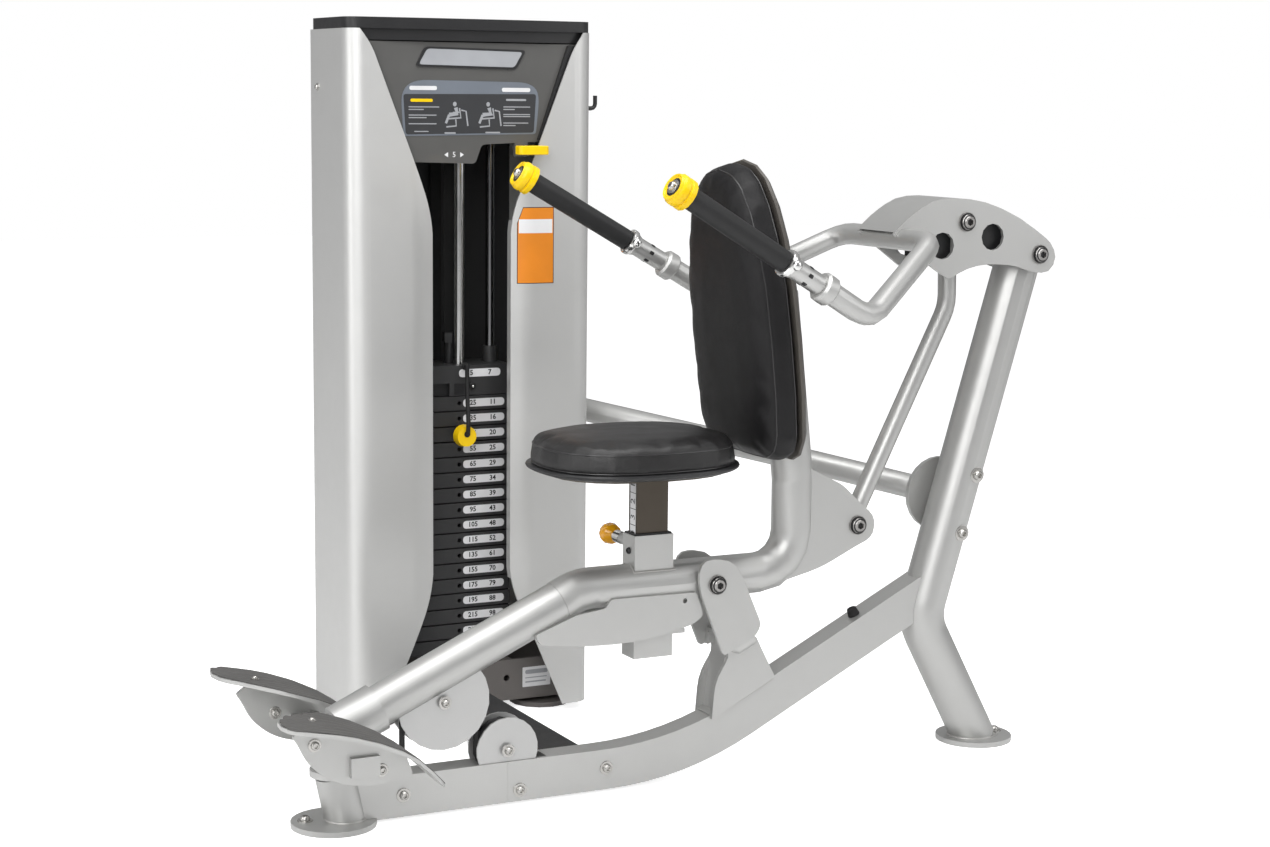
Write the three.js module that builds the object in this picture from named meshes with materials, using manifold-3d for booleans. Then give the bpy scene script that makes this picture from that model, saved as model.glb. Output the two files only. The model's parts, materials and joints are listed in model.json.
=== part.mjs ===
// Seated dip machine: a rocking seat carriage, a four-bar press arm and a selectorised weight tower.
// Millimetres, +Z up. The origin is on the floor under the front foot.
// +X runs along the rail to the rear upright, +Y runs across to the weight tower.
import * as THREE from 'three';
import { mergeVertices } from 'three/addons/utils/BufferGeometryUtils.js';
import Module from 'manifold-3d';

const wasm = await Module();
wasm.setup();

// Clearances and the overrun of cutting shapes
const GAP = 0.3; // between seated pieces
const SLIP = 0.75; // between sliding pieces
const OVER = 3;
const FUSE = 1; // how far welded forms sink into each other

// Stock sizes
const BOLT_R = 10;
const BORE_R = BOLT_R + GAP;
const PLATE = 8; // side plates of brackets and gussets
const TUBE_R = 38.1; // carriage tube
const TUBE_WALL = 4;
const SLEEVE_WALL = 1.4; // how much the bent tube's socket stands outside the front tube

// Lengths along the rail and heights between the pivots
const SPAN = {
  toSocket: 434,
  socketToRock: 304,
  rockToKnee: 484,
  kneeToFoot: 140,
  kneeToArm: 216,
  rockToLink: 319,
  armToLink: 174,
  rockToTower: 243,
};
const RISE = { rock: 379, rockToSocket: 15, rockToLink: 86, rockToTube: 5, knee: 262, kneeToArm: 719, armToLink: 66, kneeToRail: 62 };

const SOCKET = { x: SPAN.toSocket, z: RISE.rock - RISE.rockToSocket };
const ROCK = { x: SOCKET.x + SPAN.socketToRock, z: RISE.rock }; // carriage on its bracket
const KNEE = { x: ROCK.x + SPAN.rockToKnee, z: RISE.knee }; // bend of the rear upright
const ARM = { x: KNEE.x + SPAN.kneeToArm, z: KNEE.z + RISE.kneeToArm }; // press arm on the upright
const LINK_TOP = { x: ARM.x - SPAN.armToLink, z: ARM.z + RISE.armToLink }; // link on the arm
const LINK_END = { x: ROCK.x + SPAN.rockToLink, z: ROCK.z + RISE.rockToLink }; // link on the carriage
const REAR_FOOT = KNEE.x + SPAN.kneeToFoot;

const RAIL = { width: 50.8, height: 76, bottom: 6, seam: 324, bendBeforeRock: 57, bendRadius: 160 };
const FOOT = { radius: 76, thick: 10, boltHole: 7, holeIn: 48, holeSide: 14 };
const UPRIGHT = { radius: 44.5, wall: 4, bendRadius: 90, over: 20 };
const BELT = { width: 24, thick: 2, slack: 0.9 };

const TOWER = { half: 265, front: 535, depth: 230, bottom: 15, top: 1405, sheet: 3, corner: 45 };
TOWER.x = ROCK.x - SPAN.rockToTower;
TOWER.back = TOWER.front + TOWER.depth;
const STACK = { half: 113, depth: 110, inset: 80, thick: 28.6, space: 3.2, floor: 128, count: 17, picked: 3, groove: 8 };
STACK.pitch = STACK.thick + STACK.space;
STACK.front = TOWER.front + STACK.inset;
STACK.back = STACK.front + STACK.depth;
STACK.y = STACK.front + STACK.depth / 2;
STACK.topZ = STACK.floor + STACK.pitch * (STACK.count - 1) + STACK.thick;
const ROD = { reach: 91, radius: 9.5, slip: 2, bush: 6, bushRise: 33 };

const SILVER = new THREE.MeshStandardMaterial({ color: 0xb9b8b4, roughness: 0.42, metalness: 0.55 });
const COVER_SILVER = new THREE.MeshStandardMaterial({ color: 0xc4c3bf, roughness: 0.38, metalness: 0.5 });
const DARK_STEEL = new THREE.MeshStandardMaterial({ color: 0x4b4a49, roughness: 0.6, metalness: 0.4 });
const PLATE_BLACK = new THREE.MeshStandardMaterial({ color: 0x2b2b2b, roughness: 0.65, metalness: 0.3 });
const CHROME = new THREE.MeshStandardMaterial({ color: 0xd6d6d4, roughness: 0.12, metalness: 1 });
const BLACK_PLASTIC = new THREE.MeshStandardMaterial({ color: 0x1d1c1c, roughness: 0.45, metalness: 0 });
const GREY_PLASTIC = new THREE.MeshStandardMaterial({ color: 0x55534f, roughness: 0.55, metalness: 0 });
const RUBBER = new THREE.MeshStandardMaterial({ color: 0x1a1a1a, roughness: 0.85, metalness: 0 });
const VINYL = new THREE.MeshStandardMaterial({ color: 0x1b1a1c, roughness: 0.5, metalness: 0 });
const YELLOW = new THREE.MeshStandardMaterial({ color: 0xf2c400, roughness: 0.35, metalness: 0 });

const group = new THREE.Group();

// Solids and booleans
function solid(shape) {
  if (!shape.isBufferGeometry) return shape;
  const bare = shape.clone();
  bare.deleteAttribute('normal');
  bare.deleteAttribute('uv');
  const merged = mergeVertices(bare, 1e-3);
  const vertProperties = new Float32Array(merged.attributes.position.array);
  const triVerts = new Uint32Array(merged.index.array);
  return new wasm.Manifold(new wasm.Mesh({ numProp: 3, vertProperties, triVerts }));
}

function geometryOf(body) {
  const mesh = body.getMesh();
  const geometry = new THREE.BufferGeometry();
  geometry.setAttribute('position', new THREE.BufferAttribute(new Float32Array(mesh.vertProperties), 3));
  geometry.setIndex(new THREE.BufferAttribute(new Uint32Array(mesh.triVerts), 1));
  return geometry;
}

const join = (...parts) => parts.map(solid).reduce((a, b) => a.add(b));
const cut = (body, ...tools) => tools.map(solid).reduce((a, b) => a.subtract(b), solid(body));

// The largest piece of a cut form, without the offcuts
const largest = (body) => body.decompose().sort((a, b) => b.volume() - a.volume())[0];

function place(name, shape, material, at = [0, 0, 0]) {
  const mesh = new THREE.Mesh(shape.isBufferGeometry ? shape : geometryOf(shape), material);
  mesh.name = name;
  mesh.position.set(...at);
  group.add(mesh);
}

// Primitive forms
function block(x0, x1, y0, y1, z0, z1) {
  return new THREE.BoxGeometry(x1 - x0, y1 - y0, z1 - z0).translate((x0 + x1) / 2, (y0 + y1) / 2, (z0 + z1) / 2);
}

// A turned form along the line from a towards b, its profile given as [radius, distance from a]
function turned(a, b, profile, sides = 18) {
  const from = new THREE.Vector3(...a);
  const way = new THREE.Vector3(...b).sub(from).normalize();
  const geometry = new THREE.LatheGeometry(profile.map(([r, h]) => new THREE.Vector2(r, h)), sides);
  geometry.applyQuaternion(new THREE.Quaternion().setFromUnitVectors(new THREE.Vector3(0, 1, 0), way));
  return geometry.translate(from.x, from.y, from.z);
}

// A cylinder, or with another end radius a cone, from point a to point b
function rod(a, b, radius, sides = 16, radiusEnd = radius) {
  const from = new THREE.Vector3(...a);
  const to = new THREE.Vector3(...b);
  const way = to.clone().sub(from);
  const geometry = new THREE.CylinderGeometry(radiusEnd, radius, way.length(), sides);
  geometry.applyQuaternion(new THREE.Quaternion().setFromUnitVectors(new THREE.Vector3(0, 1, 0), way.clone().normalize()));
  return geometry.translate((from.x + to.x) / 2, (from.y + to.y) / 2, (from.z + to.z) / 2);
}

const pinY = (x, z, y0, y1, radius, sides = 16) => rod([x, y0, z], [x, y1, z], radius, sides);
const pinZ = (x, y, z0, z1, radius, sides = 16) => rod([x, y, z0], [x, y, z1], radius, sides);

// Both sides of the frame's middle plane: a span from inner to outer, or its mirror image
const both = [-1, 1];
const spanY = (side, inner, outer) => (side < 0 ? [-outer, -inner] : [inner, outer]);

// Outline points from shares of a width and a height; a third share rounds that corner
const fromShares = (x, z, width, height, shares) =>
  shares.map(([across, rise, round = 0]) => [x + across * width, z + rise * height, round * width]);

// A closed outline whose corners [x, y, r] are rounded by r, with round holes [x, y, r]
function outline(corners, holes = []) {
  const shape = new THREE.Shape();
  const count = corners.length;
  const turnedBack = THREE.ShapeUtils.area(corners.map(([x, y]) => new THREE.Vector2(x, y))) < 0;
  const points = turnedBack ? corners.slice().reverse() : corners;
  points.forEach(([x, y, r = 0], i) => {
    const [px, py] = points[(i + count - 1) % count];
    const [nx, ny] = points[(i + 1) % count];
    const inLength = Math.hypot(px - x, py - y);
    const outLength = Math.hypot(nx - x, ny - y);
    const reach = Math.min(r, inLength * 0.49, outLength * 0.49);
    const startX = x + ((px - x) / inLength) * reach;
    const startY = y + ((py - y) / inLength) * reach;
    if (i === 0) shape.moveTo(startX, startY);
    else shape.lineTo(startX, startY);
    const endX = x + ((nx - x) / outLength) * reach;
    const endY = y + ((ny - y) / outLength) * reach;
    if (reach > 0) shape.quadraticCurveTo(x, y, endX, endY);
  });
  shape.closePath();
  holes.forEach(([x, y, r]) => {
    const hole = new THREE.Path();
    hole.absarc(x, y, r, 0, Math.PI * 2, true);
    shape.holes.push(hole);
  });
  return shape;
}

// A plate cut to an X-Z outline, spanning y0 to y1
function plateY(points, y0, y1, curve = 4) {
  const geometry = new THREE.ExtrudeGeometry(outline(points), { depth: y1 - y0, bevelEnabled: false, curveSegments: curve });
  return geometry.rotateX(Math.PI / 2).translate(0, y1, 0);
}

// A plate cut to an X-Y outline, spanning z0 to z1
function plateZ(points, z0, z1, holes = [], curve = 4) {
  const geometry = new THREE.ExtrudeGeometry(outline(points, holes), { depth: z1 - z0, bevelEnabled: false, curveSegments: curve });
  return geometry.translate(0, 0, z0);
}

// A route of straight runs and round bends, whose steps fall only where the route turns
class BentRoute extends THREE.Curve {
  constructor(points, bend, turns) {
    super();
    const corners = points.map((p) => new THREE.Vector3(...p));
    const last = corners.length - 1;
    this.stations = [corners[0].clone()];
    this.headings = [corners[1].clone().sub(corners[0]).normalize()];
    for (let i = 1; i < last; i += 1) {
      const back = corners[i - 1].clone().sub(corners[i]);
      const ahead = corners[i + 1].clone().sub(corners[i]);
      const half = back.angleTo(ahead) / 2;
      const room = Math.min(back.length(), ahead.length()) * 0.48;
      const reach = Math.min(bend / Math.tan(half), room);
      const radius = reach * Math.tan(half);
      back.normalize();
      ahead.normalize();
      const centre = corners[i].clone().add(back.clone().add(ahead).normalize().multiplyScalar(radius / Math.sin(half)));
      const start = corners[i].clone().addScaledVector(back, reach).sub(centre);
      const axis = new THREE.Vector3().crossVectors(back.clone().negate(), ahead).normalize();
      for (let k = 0; k <= turns; k += 1) {
        const turn = ((Math.PI - half * 2) * k) / turns;
        this.stations.push(start.clone().applyAxisAngle(axis, turn).add(centre));
        this.headings.push(back.clone().negate().applyAxisAngle(axis, turn));
      }
    }
    this.stations.push(corners[last].clone());
    this.headings.push(corners[last].clone().sub(corners[last - 1]).normalize());
    this.steps = this.stations.length - 1;
  }
  getPointAt(u) {
    const at = Math.min(Math.max(u, 0), 1) * this.steps;
    const i = Math.min(Math.floor(at + 1e-6), this.steps - 1);
    return this.stations[i].clone().lerp(this.stations[i + 1], at - i);
  }
  getPoint(u) {
    return this.getPointAt(u);
  }
  getTangentAt(u) {
    return this.headings[Math.round(Math.min(Math.max(u, 0), 1) * this.steps)].clone();
  }
}

// A round bar or, with a wall, a round tube along a bent route
function tube(points, radius, wall, bend, sides = 8, turns = 4) {
  const route = new BentRoute(points, bend, turns);
  const section = new THREE.Shape();
  section.absarc(0, 0, radius, 0, Math.PI * 2, false);
  if (wall > 0) {
    const bore = new THREE.Path();
    bore.absarc(0, 0, radius - wall, 0, Math.PI * 2, true);
    section.holes.push(bore);
  }
  return new THREE.ExtrudeGeometry(section, { steps: route.steps, extrudePath: route, curveSegments: sides, bevelEnabled: false });
}

// A padded form: rings of one loop, each with its own share of the loop and height, closed by two crowns
function cushion(loop, rings, at) {
  const positions = [];
  const index = [];
  const count = loop.length;
  rings.forEach(([share, height]) => loop.forEach(([u, v]) => positions.push(...at(u * share, v * share, height))));
  for (let k = 0; k < rings.length - 1; k += 1) {
    for (let i = 0; i < count; i += 1) {
      const a = k * count + i;
      const b = k * count + ((i + 1) % count);
      index.push(a, b, b + count, a, b + count, a + count);
    }
  }
  const low = positions.length / 3;
  const high = low + 1;
  const last = (rings.length - 1) * count;
  positions.push(...at(0, 0, rings[0][1]), ...at(0, 0, rings[rings.length - 1][1]));
  for (let i = 0; i < count; i += 1) {
    const next = (i + 1) % count;
    index.push(low, next, i, high, last + i, last + next);
  }
  const geometry = new THREE.BufferGeometry();
  geometry.setAttribute('position', new THREE.Float32BufferAttribute(positions, 3));
  geometry.setIndex(index);
  return geometry;
}

// The rail's middle line: level, then slanting up to meet the upright above its knee
const railHalf = RAIL.width / 2;
const railTop = RAIL.bottom + RAIL.height;
const railMiddle = RAIL.bottom + RAIL.height / 2;
const uprightLean = SPAN.kneeToArm / RISE.kneeToArm;
const MEET = { x: KNEE.x + uprightLean * RISE.kneeToRail, z: KNEE.z + RISE.kneeToRail };
const railBend = ROCK.x - RAIL.bendBeforeRock;
const slant = Math.atan2(MEET.z - railMiddle, MEET.x - railBend);
const slantMiddle = (x) => railMiddle + (x - railBend) * Math.tan(slant);
const slantHalf = RAIL.height / 2 / Math.cos(slant);
const slantTop = (x) => slantMiddle(x) + slantHalf;
const bendShift = (RAIL.height / 2) * Math.tan(slant / 2);

// The front tube's axis, from the footrests up to the socket
const FRONT = { lowX: 40, lowZ: 186, spigot: 30, spigotSlip: 2 };
const frontRun = SOCKET.x - FRONT.lowX;
const frontRise = SOCKET.z - FRONT.lowZ;
const frontLength = Math.hypot(frontRun, frontRise);
const frontWay = [frontRun / frontLength, frontRise / frontLength];
const frontPoint = (along, off = 0) => [
  FRONT.lowX + frontWay[0] * along + frontWay[1] * off,
  0,
  FRONT.lowZ + frontWay[1] * along - frontWay[0] * off,
];

// Belt wheels: one hangs under the front tube, one stands in the rail
const GUARD = { inner: 18.5, thick: 4, axle: 8, axleOut: 5, trim: 50 };
const LIFT_WHEEL = { radius: 70, half: 16, guard: 88, along: 155, below: 48 };
[LIFT_WHEEL.x, , LIFT_WHEEL.z] = frontPoint(LIFT_WHEEL.along, LIFT_WHEEL.below);
const RAIL_WHEEL = { radius: 50, half: 16, guard: 60, rise: 22 };
RAIL_WHEEL.x = LIFT_WHEEL.x + LIFT_WHEEL.radius + RAIL_WHEEL.radius + BELT.slack * 2 + BELT.thick;
RAIL_WHEEL.z = railTop + RAIL_WHEEL.rise;

// Ground frame

const POST_LEAN = { bottomX: 22, topX: 4, radius: 37, top: 92, collar: 46, collarThick: 12 };
const postForm = (grow) =>
  rod([POST_LEAN.bottomX, 0, FOOT.thick - FUSE], [POST_LEAN.topX, 0, POST_LEAN.top + FUSE], POST_LEAN.radius + grow, 22);

function frontFoot() {
  const p = POST_LEAN;
  const disc = pinZ(0, 0, 0, FOOT.thick, FOOT.radius, 26);
  const collar = pinZ(p.topX, 0, p.top, p.top + p.collarThick, p.collar, 22);
  const hole = pinZ(-FOOT.holeIn, FOOT.holeSide, -OVER, FOOT.thick + OVER, FOOT.boltHole, 12);
  place('front_foot', cut(join(disc, postForm(0), collar), hole), SILVER);
}

// The rail wheel runs in this slot of the rail
function wheelSlot() {
  const w = RAIL_WHEEL;
  const half = w.half + FUSE;
  const round = w.radius + BELT.thick + OVER;
  const exit = block(w.x, w.x + w.radius * 1.6, -half, half, w.z - round, railTop + OVER);
  return join(pinY(w.x, w.z, -half, half, round, 26), exit);
}

function railRearForm(grow) {
  const start = RAIL.seam + GAP;
  const end = KNEE.x + UPRIGHT.radius;
  const side = [
    [start, RAIL.bottom - grow],
    [railBend + bendShift, RAIL.bottom - grow, RAIL.bendRadius],
    [end, slantMiddle(end) - slantHalf - grow],
    [end, slantMiddle(end) + slantHalf + grow],
    [railBend - bendShift, railTop + grow, RAIL.bendRadius],
    [start, railTop + grow],
  ];
  return solid(plateY(side, -railHalf - grow, railHalf + grow, 8));
}

function rails() {
  const discCut = pinZ(0, 0, -OVER, FOOT.thick + GAP, FOOT.radius + GAP, 26);
  const front = block(POST_LEAN.bottomX, RAIL.seam, -railHalf, railHalf, RAIL.bottom, railTop);
  place('rail_front', cut(front, postForm(GAP), discCut, wheelSlot()), SILVER);
  const rear = cut(railRearForm(0), uprightForm(GAP, 0), wheelSlot());
  place('rail_rear', largest(rear), SILVER);
}

function uprightForm(grow, wall) {
  const route = [
    [ARM.x + uprightLean * UPRIGHT.over, 0, ARM.z + UPRIGHT.over],
    [KNEE.x, 0, KNEE.z],
    [REAR_FOOT, 0, FOOT.thick / 2],
  ];
  return solid(tube(route, UPRIGHT.radius + grow, wall, UPRIGHT.bendRadius, 7, 4));
}

const ARM_BOX = { length: 341, height: 113, outer: 66, plate: 7, cover: 5, lightening: 26 };
const armInner = ARM_BOX.outer - ARM_BOX.plate;

function rearUpright() {
  const under = block(REAR_FOOT - FOOT.radius, REAR_FOOT + FOOT.radius, -FOOT.radius, FOOT.radius, -FOOT.radius, 0);
  const disc = pinZ(REAR_FOOT, 0, 0, FOOT.thick, FOOT.radius, 26);
  const boss = pinY(ARM.x, ARM.z, -armInner + GAP, armInner - GAP, BOLT_R * 2.3, 16);
  const bore = pinY(ARM.x, ARM.z, -ARM_BOX.outer, ARM_BOX.outer, BORE_R);
  const hole = pinZ(REAR_FOOT + FOOT.holeIn, 0, -OVER, FOOT.thick + OVER, FOOT.boltHole, 12);
  place('rear_upright', cut(join(cut(uprightForm(0, UPRIGHT.wall), under), disc, boss), bore, hole), SILVER);
}

const BRACKET = { eye: 40, low: 26, high: 43, footStart: 2, footEnd: 138, webIn: 14 };

function pivotBracket() {
  const eye = BRACKET.eye;
  const at = (x) => [x, slantTop(x) + GAP];
  const headShares = [
    [-1, 0, 1],
    [-0.85, 1.25, 1],
    [0.95, 1.15, 1],
    [2.42, -2.12, 0.4],
    [2.08, -2.65, 0.2],
    [0.4, -3.45, 0.2],
  ];
  const legShares = [
    [0.2, -4.72, 1.2],
    [1, -3.55, 0.6],
    [0.6, -2.7],
    [2.38, -2.8],
  ];
  const jogShares = [
    [0.75, -2.55],
    [2.2, -2.25],
    [1.95, -2.65],
    [0.6, -3.3],
  ];
  const head = fromShares(ROCK.x, ROCK.z, eye, eye, headShares);
  const leg = [at(ROCK.x + BRACKET.footStart), ...fromShares(ROCK.x, ROCK.z, eye, eye, legShares), at(ROCK.x + BRACKET.footEnd)];
  const jog = fromShares(ROCK.x, ROCK.z, eye, eye, jogShares);
  const sides = both.map((s) =>
    join(
      plateY(head, ...spanY(s, BRACKET.high, BRACKET.high + PLATE), 3),
      plateY(leg, ...spanY(s, BRACKET.low, BRACKET.low + PLATE), 3),
      plateY(jog, ...spanY(s, BRACKET.low, BRACKET.high + PLATE)),
    ),
  );
  const inside = BRACKET.low + FUSE;
  const [startX, startZ] = at(ROCK.x + BRACKET.footStart);
  const [endX, endZ] = at(ROCK.x + BRACKET.footEnd);
  const sole = [
    [startX, startZ],
    [endX, endZ],
    [endX, endZ + PLATE],
    [startX, startZ + PLATE],
  ];
  const webX = ROCK.x + BRACKET.webIn;
  const [, webZ] = at(webX);
  const webShares = [
    [1, -2.8],
    [0.55, -4.6, 0.6],
  ];
  const [webTop, webKnee] = fromShares(ROCK.x, ROCK.z, eye, eye, webShares);
  const web = [
    webTop,
    [webTop[0] + PLATE, webTop[1]],
    [webKnee[0] + PLATE, webKnee[1], webKnee[2]],
    [webX + PLATE, webZ + PLATE],
    [webX, webZ + PLATE / 2],
    webKnee,
  ];
  const body = join(...sides, plateY(sole, -inside, inside), plateY(web, -inside, inside));
  const bore = pinY(ROCK.x, ROCK.z, -BRACKET.high * 2, BRACKET.high * 2, BORE_R);
  place('pivot_bracket', cut(body, bore, railRearForm(GAP)), SILVER);
}

// A shoulder bolt across the frame: shank, two button heads with hexagon sockets, and washers
const BOLT = { washer: 19, washerThick: 3, head: 15, headThick: 9, crown: 10.5, socket: 7, socketDeep: 5 };

function pivotBolt(name, at, halfSpan) {
  const face = halfSpan + GAP;
  const seat = face + BOLT.washerThick;
  const top = seat + BOLT.headThick;
  const edge = top - BOLT.headThick / 2;
  const half = [
    [BOLT_R, face],
    [BOLT.washer, face],
    [BOLT.washer, seat],
    [BOLT.head, seat],
    [BOLT.head, edge],
    [BOLT.crown, top],
    [0, top],
  ];
  const profile = [...half.map(([r, h]) => [r, -h]).reverse(), ...half];
  const bolt = turned([at.x, 0, at.z], [at.x, 1, at.z], profile, 12);
  const sockets = both.map((s) => pinY(at.x, at.z, ...spanY(s, top - BOLT.socketDeep, top + OVER), BOLT.socket, 6));
  place(name, cut(bolt, ...sockets), CHROME);
}

// Weight tower

const BASE = { behind: 65, before: 23, top: 105, bottom: 18, wall: 6, foot: 66, leg: 20, shelf: 24, shelfThick: 14, hole: 7, holeShare: 0.38 };
const CROSS = { aside: 41, half: 38, bottom: 8, top: 80, wall: 5 };
const COLUMN = { width: 34, depth: 50, before: 27, wall: 3 };
const TOP_BEAM = { below: 65, thick: 36, before: 33 };
BASE.front = TOWER.front + BASE.behind;
BASE.back = TOWER.back - BASE.before;
COLUMN.back = TOWER.back - COLUMN.before;
COLUMN.front = COLUMN.back - COLUMN.depth;
TOP_BEAM.front = COLUMN.front - TOP_BEAM.before;
TOP_BEAM.bottom = TOWER.top - TOP_BEAM.below;
TOP_BEAM.top = TOP_BEAM.bottom + TOP_BEAM.thick;
const WHEEL = { radius: 36, lowRadius: 34, half: 16, behind: 37, below: 105, lowZ: 82, axle: 7, lugIn: 20, lugThick: 8, lugHalf: 15 };
WHEEL.y = STACK.y + WHEEL.behind;
WHEEL.topZ = TOWER.top - WHEEL.below;
const wallIn = TOWER.half - TOWER.sheet;
const liftY = WHEEL.y - WHEEL.radius - BELT.slack - BELT.thick / 2;

// Two lugs and an axle for a belt wheel
function wheelFork(z, from, to) {
  const lugs = both.map((s) => {
    const near = TOWER.x + s * WHEEL.lugIn;
    const far = near + s * WHEEL.lugThick;
    return block(Math.min(near, far), Math.max(near, far), WHEEL.y - WHEEL.lugHalf, WHEEL.y + WHEEL.lugHalf, from, to);
  });
  const reach = WHEEL.lugIn + FUSE;
  return join(...lugs, rod([TOWER.x - reach, WHEEL.y, z], [TOWER.x + reach, WHEEL.y, z], WHEEL.axle));
}

function towerBase() {
  const left = TOWER.x - wallIn + GAP;
  const right = TOWER.x + wallIn - GAP;
  const b = BASE;
  const tray = cut(
    block(left, right, b.front, b.back, b.bottom, b.top),
    block(left + b.wall, right - b.wall, b.front + b.wall, b.back - b.wall, b.bottom + b.wall, b.top + OVER),
  );
  const corners = [left + b.foot, right - b.foot].flatMap((x) => [b.front + b.foot * 0.6, b.back - b.foot * 0.5].map((y) => [x, y]));
  const feet = corners.flatMap(([x, y]) => [pinZ(x, y, 0, FOOT.thick, b.foot, 14), pinZ(x, y, FOOT.thick - FUSE, b.bottom + FUSE, b.leg, 10)]);
  const shelves = both.flatMap((s) => {
    const x = TOWER.x + s * ROD.reach;
    return [
      block(x - b.shelf, x + b.shelf, b.front + FUSE, b.back - FUSE, b.top - b.shelfThick, b.top),
      cut(pinZ(x, STACK.y, b.top - FUSE, STACK.floor - GAP, b.leg, 12), pinZ(x, STACK.y, b.top - OVER, STACK.floor + OVER, ROD.radius + GAP, 12)),
    ];
  });
  const beltZ = WHEEL.lowZ - WHEEL.lowRadius;
  const slot = block(TOWER.x - BELT.width, TOWER.x + BELT.width, b.front - OVER, b.front + b.wall + OVER, b.bottom + b.wall, beltZ + b.wall);
  const backSlot = block(TOWER.x - BELT.width, TOWER.x + BELT.width, b.back - b.wall - OVER, b.back + OVER, b.bottom + b.wall, b.top + OVER);
  const hole = pinY(TOWER.x + TOWER.half * b.holeShare, b.foot, b.front - OVER, b.front + b.wall + OVER, b.hole, 12);
  const fork = wheelFork(WHEEL.lowZ, b.bottom + FUSE, WHEEL.lowZ + WHEEL.lugHalf);
  place('tower_base', cut(join(tray, ...feet, ...shelves, fork), slot, backSlot, hole), DARK_STEEL);
}

function crossBeam() {
  const middle = TOWER.x - CROSS.aside;
  const start = railHalf + GAP;
  const w = CROSS.wall;
  const outer = block(middle - CROSS.half, middle + CROSS.half, start, BASE.front - GAP, CROSS.bottom, CROSS.top);
  const inner = block(middle - CROSS.half + w, middle + CROSS.half - w, start + w, BASE.front + OVER, CROSS.bottom + w, CROSS.top - w);
  place('cross_beam', cut(outer, inner), DARK_STEEL);
}

function towerFrame() {
  both.forEach((s) => {
    const outer = TOWER.x + s * (wallIn - GAP);
    const inner = outer - s * COLUMN.width;
    const x0 = Math.min(outer, inner);
    const x1 = Math.max(outer, inner);
    const w = COLUMN.wall;
    const post = cut(
      block(x0, x1, COLUMN.front, COLUMN.back, BASE.top + GAP, TOP_BEAM.bottom - GAP),
      block(x0 + w, x1 - w, COLUMN.front + w, COLUMN.back - w, BASE.top - OVER, TOP_BEAM.bottom + OVER),
    );
    place(s < 0 ? 'tower_column_left' : 'tower_column_right', post, DARK_STEEL);
    const guide = pinZ(TOWER.x + s * ROD.reach, STACK.y, BASE.top + GAP, TOP_BEAM.bottom - GAP, ROD.radius, 12);
    place(s < 0 ? 'guide_rod_left' : 'guide_rod_right', guide, CHROME);
  });
  const reach = wallIn - GAP;
  const beam = block(TOWER.x - reach, TOWER.x + reach, TOP_BEAM.front, COLUMN.back, TOP_BEAM.bottom, TOP_BEAM.top);
  const fork = wheelFork(WHEEL.topZ, WHEEL.topZ - WHEEL.lugHalf, TOP_BEAM.bottom + FUSE);
  place('tower_top_beam', join(beam, fork), DARK_STEEL);
}

// The covers' window: half widths and heights of its waist and of its flared ends
const WINDOW = { waist: 85, lowZ: 280, lowEndZ: 24, lowHalf: 196, highDown: 370, highEndDown: 33, highHalf: 216 };
const COVER = { set: 14, crest: 34, crestSet: 2, lip: 18, backLip: 90, backCorner: 12, flare: 26, endRound: 30, round: 55 };

function coverPlan(s) {
  const at = (reach) => TOWER.x + s * reach;
  const t = TOWER.sheet;
  const front = TOWER.front;
  const crest = WINDOW.waist + COVER.crest;
  return [
    [at(WINDOW.waist), front + COVER.set],
    [at(crest), front + COVER.crestSet, TOWER.corner],
    [at(TOWER.half), front, TOWER.corner],
    [at(TOWER.half), TOWER.back, COVER.backCorner],
    [at(TOWER.half - COVER.backLip), TOWER.back],
    [at(TOWER.half - COVER.backLip), TOWER.back - t],
    [at(TOWER.half - t), TOWER.back - t, COVER.backCorner - t],
    [at(TOWER.half - t), front + t, TOWER.corner - t],
    [at(crest), front + COVER.crestSet + t, TOWER.corner - t],
    [at(WINDOW.waist + t), front + COVER.set + t],
    [at(WINDOW.waist + t), front + COVER.set + COVER.lip],
    [at(WINDOW.waist), front + COVER.set + COVER.lip],
  ];
}

function covers() {
  const w = WINDOW;
  const high = TOWER.top - w.highDown;
  const highEnd = TOWER.top - w.highEndDown;
  both.forEach((s) => {
    const at = (reach) => TOWER.x + s * reach;
    const window = [
      [at(0), w.lowEndZ - COVER.round],
      [at(w.lowHalf + COVER.flare), w.lowEndZ - COVER.round],
      [at(w.lowHalf), w.lowEndZ, COVER.endRound],
      [at(w.waist - FUSE), w.lowZ, COVER.round],
      [at(w.waist - FUSE), high, COVER.round],
      [at(w.highHalf), highEnd, COVER.endRound],
      [at(w.highHalf + COVER.flare), TOWER.top + OVER],
      [at(0), TOWER.top + OVER],
    ];
    const opening = plateY(window, TOWER.front - TOWER.corner, TOWER.front + TOWER.corner * 2, 6);
    const tools = s > 0 ? [opening, tube(braceRoute(), BRACE.radius + OVER, 0, BRACE.bendRadius, 6, 4)] : [opening];
    const wrap = cut(plateZ(coverPlan(s), TOWER.bottom, TOWER.top, [], 6), ...tools);
    place(s < 0 ? 'left_cover' : 'right_cover', largest(wrap), COVER_SILVER);
  });
  const half = TOWER.half - COVER.backLip - GAP;
  const panel = block(TOWER.x - half, TOWER.x + half, TOWER.back - TOWER.sheet, TOWER.back, BASE.foot, TOWER.top - COVER.lip);
  place('rear_panel', panel, DARK_STEEL);
}

const CAP = { thick: 22, skirt: 22, skirtWall: 8, sag: 10, rim: 22, corner: 30, bow: 10, shoulder: 160 };

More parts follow.
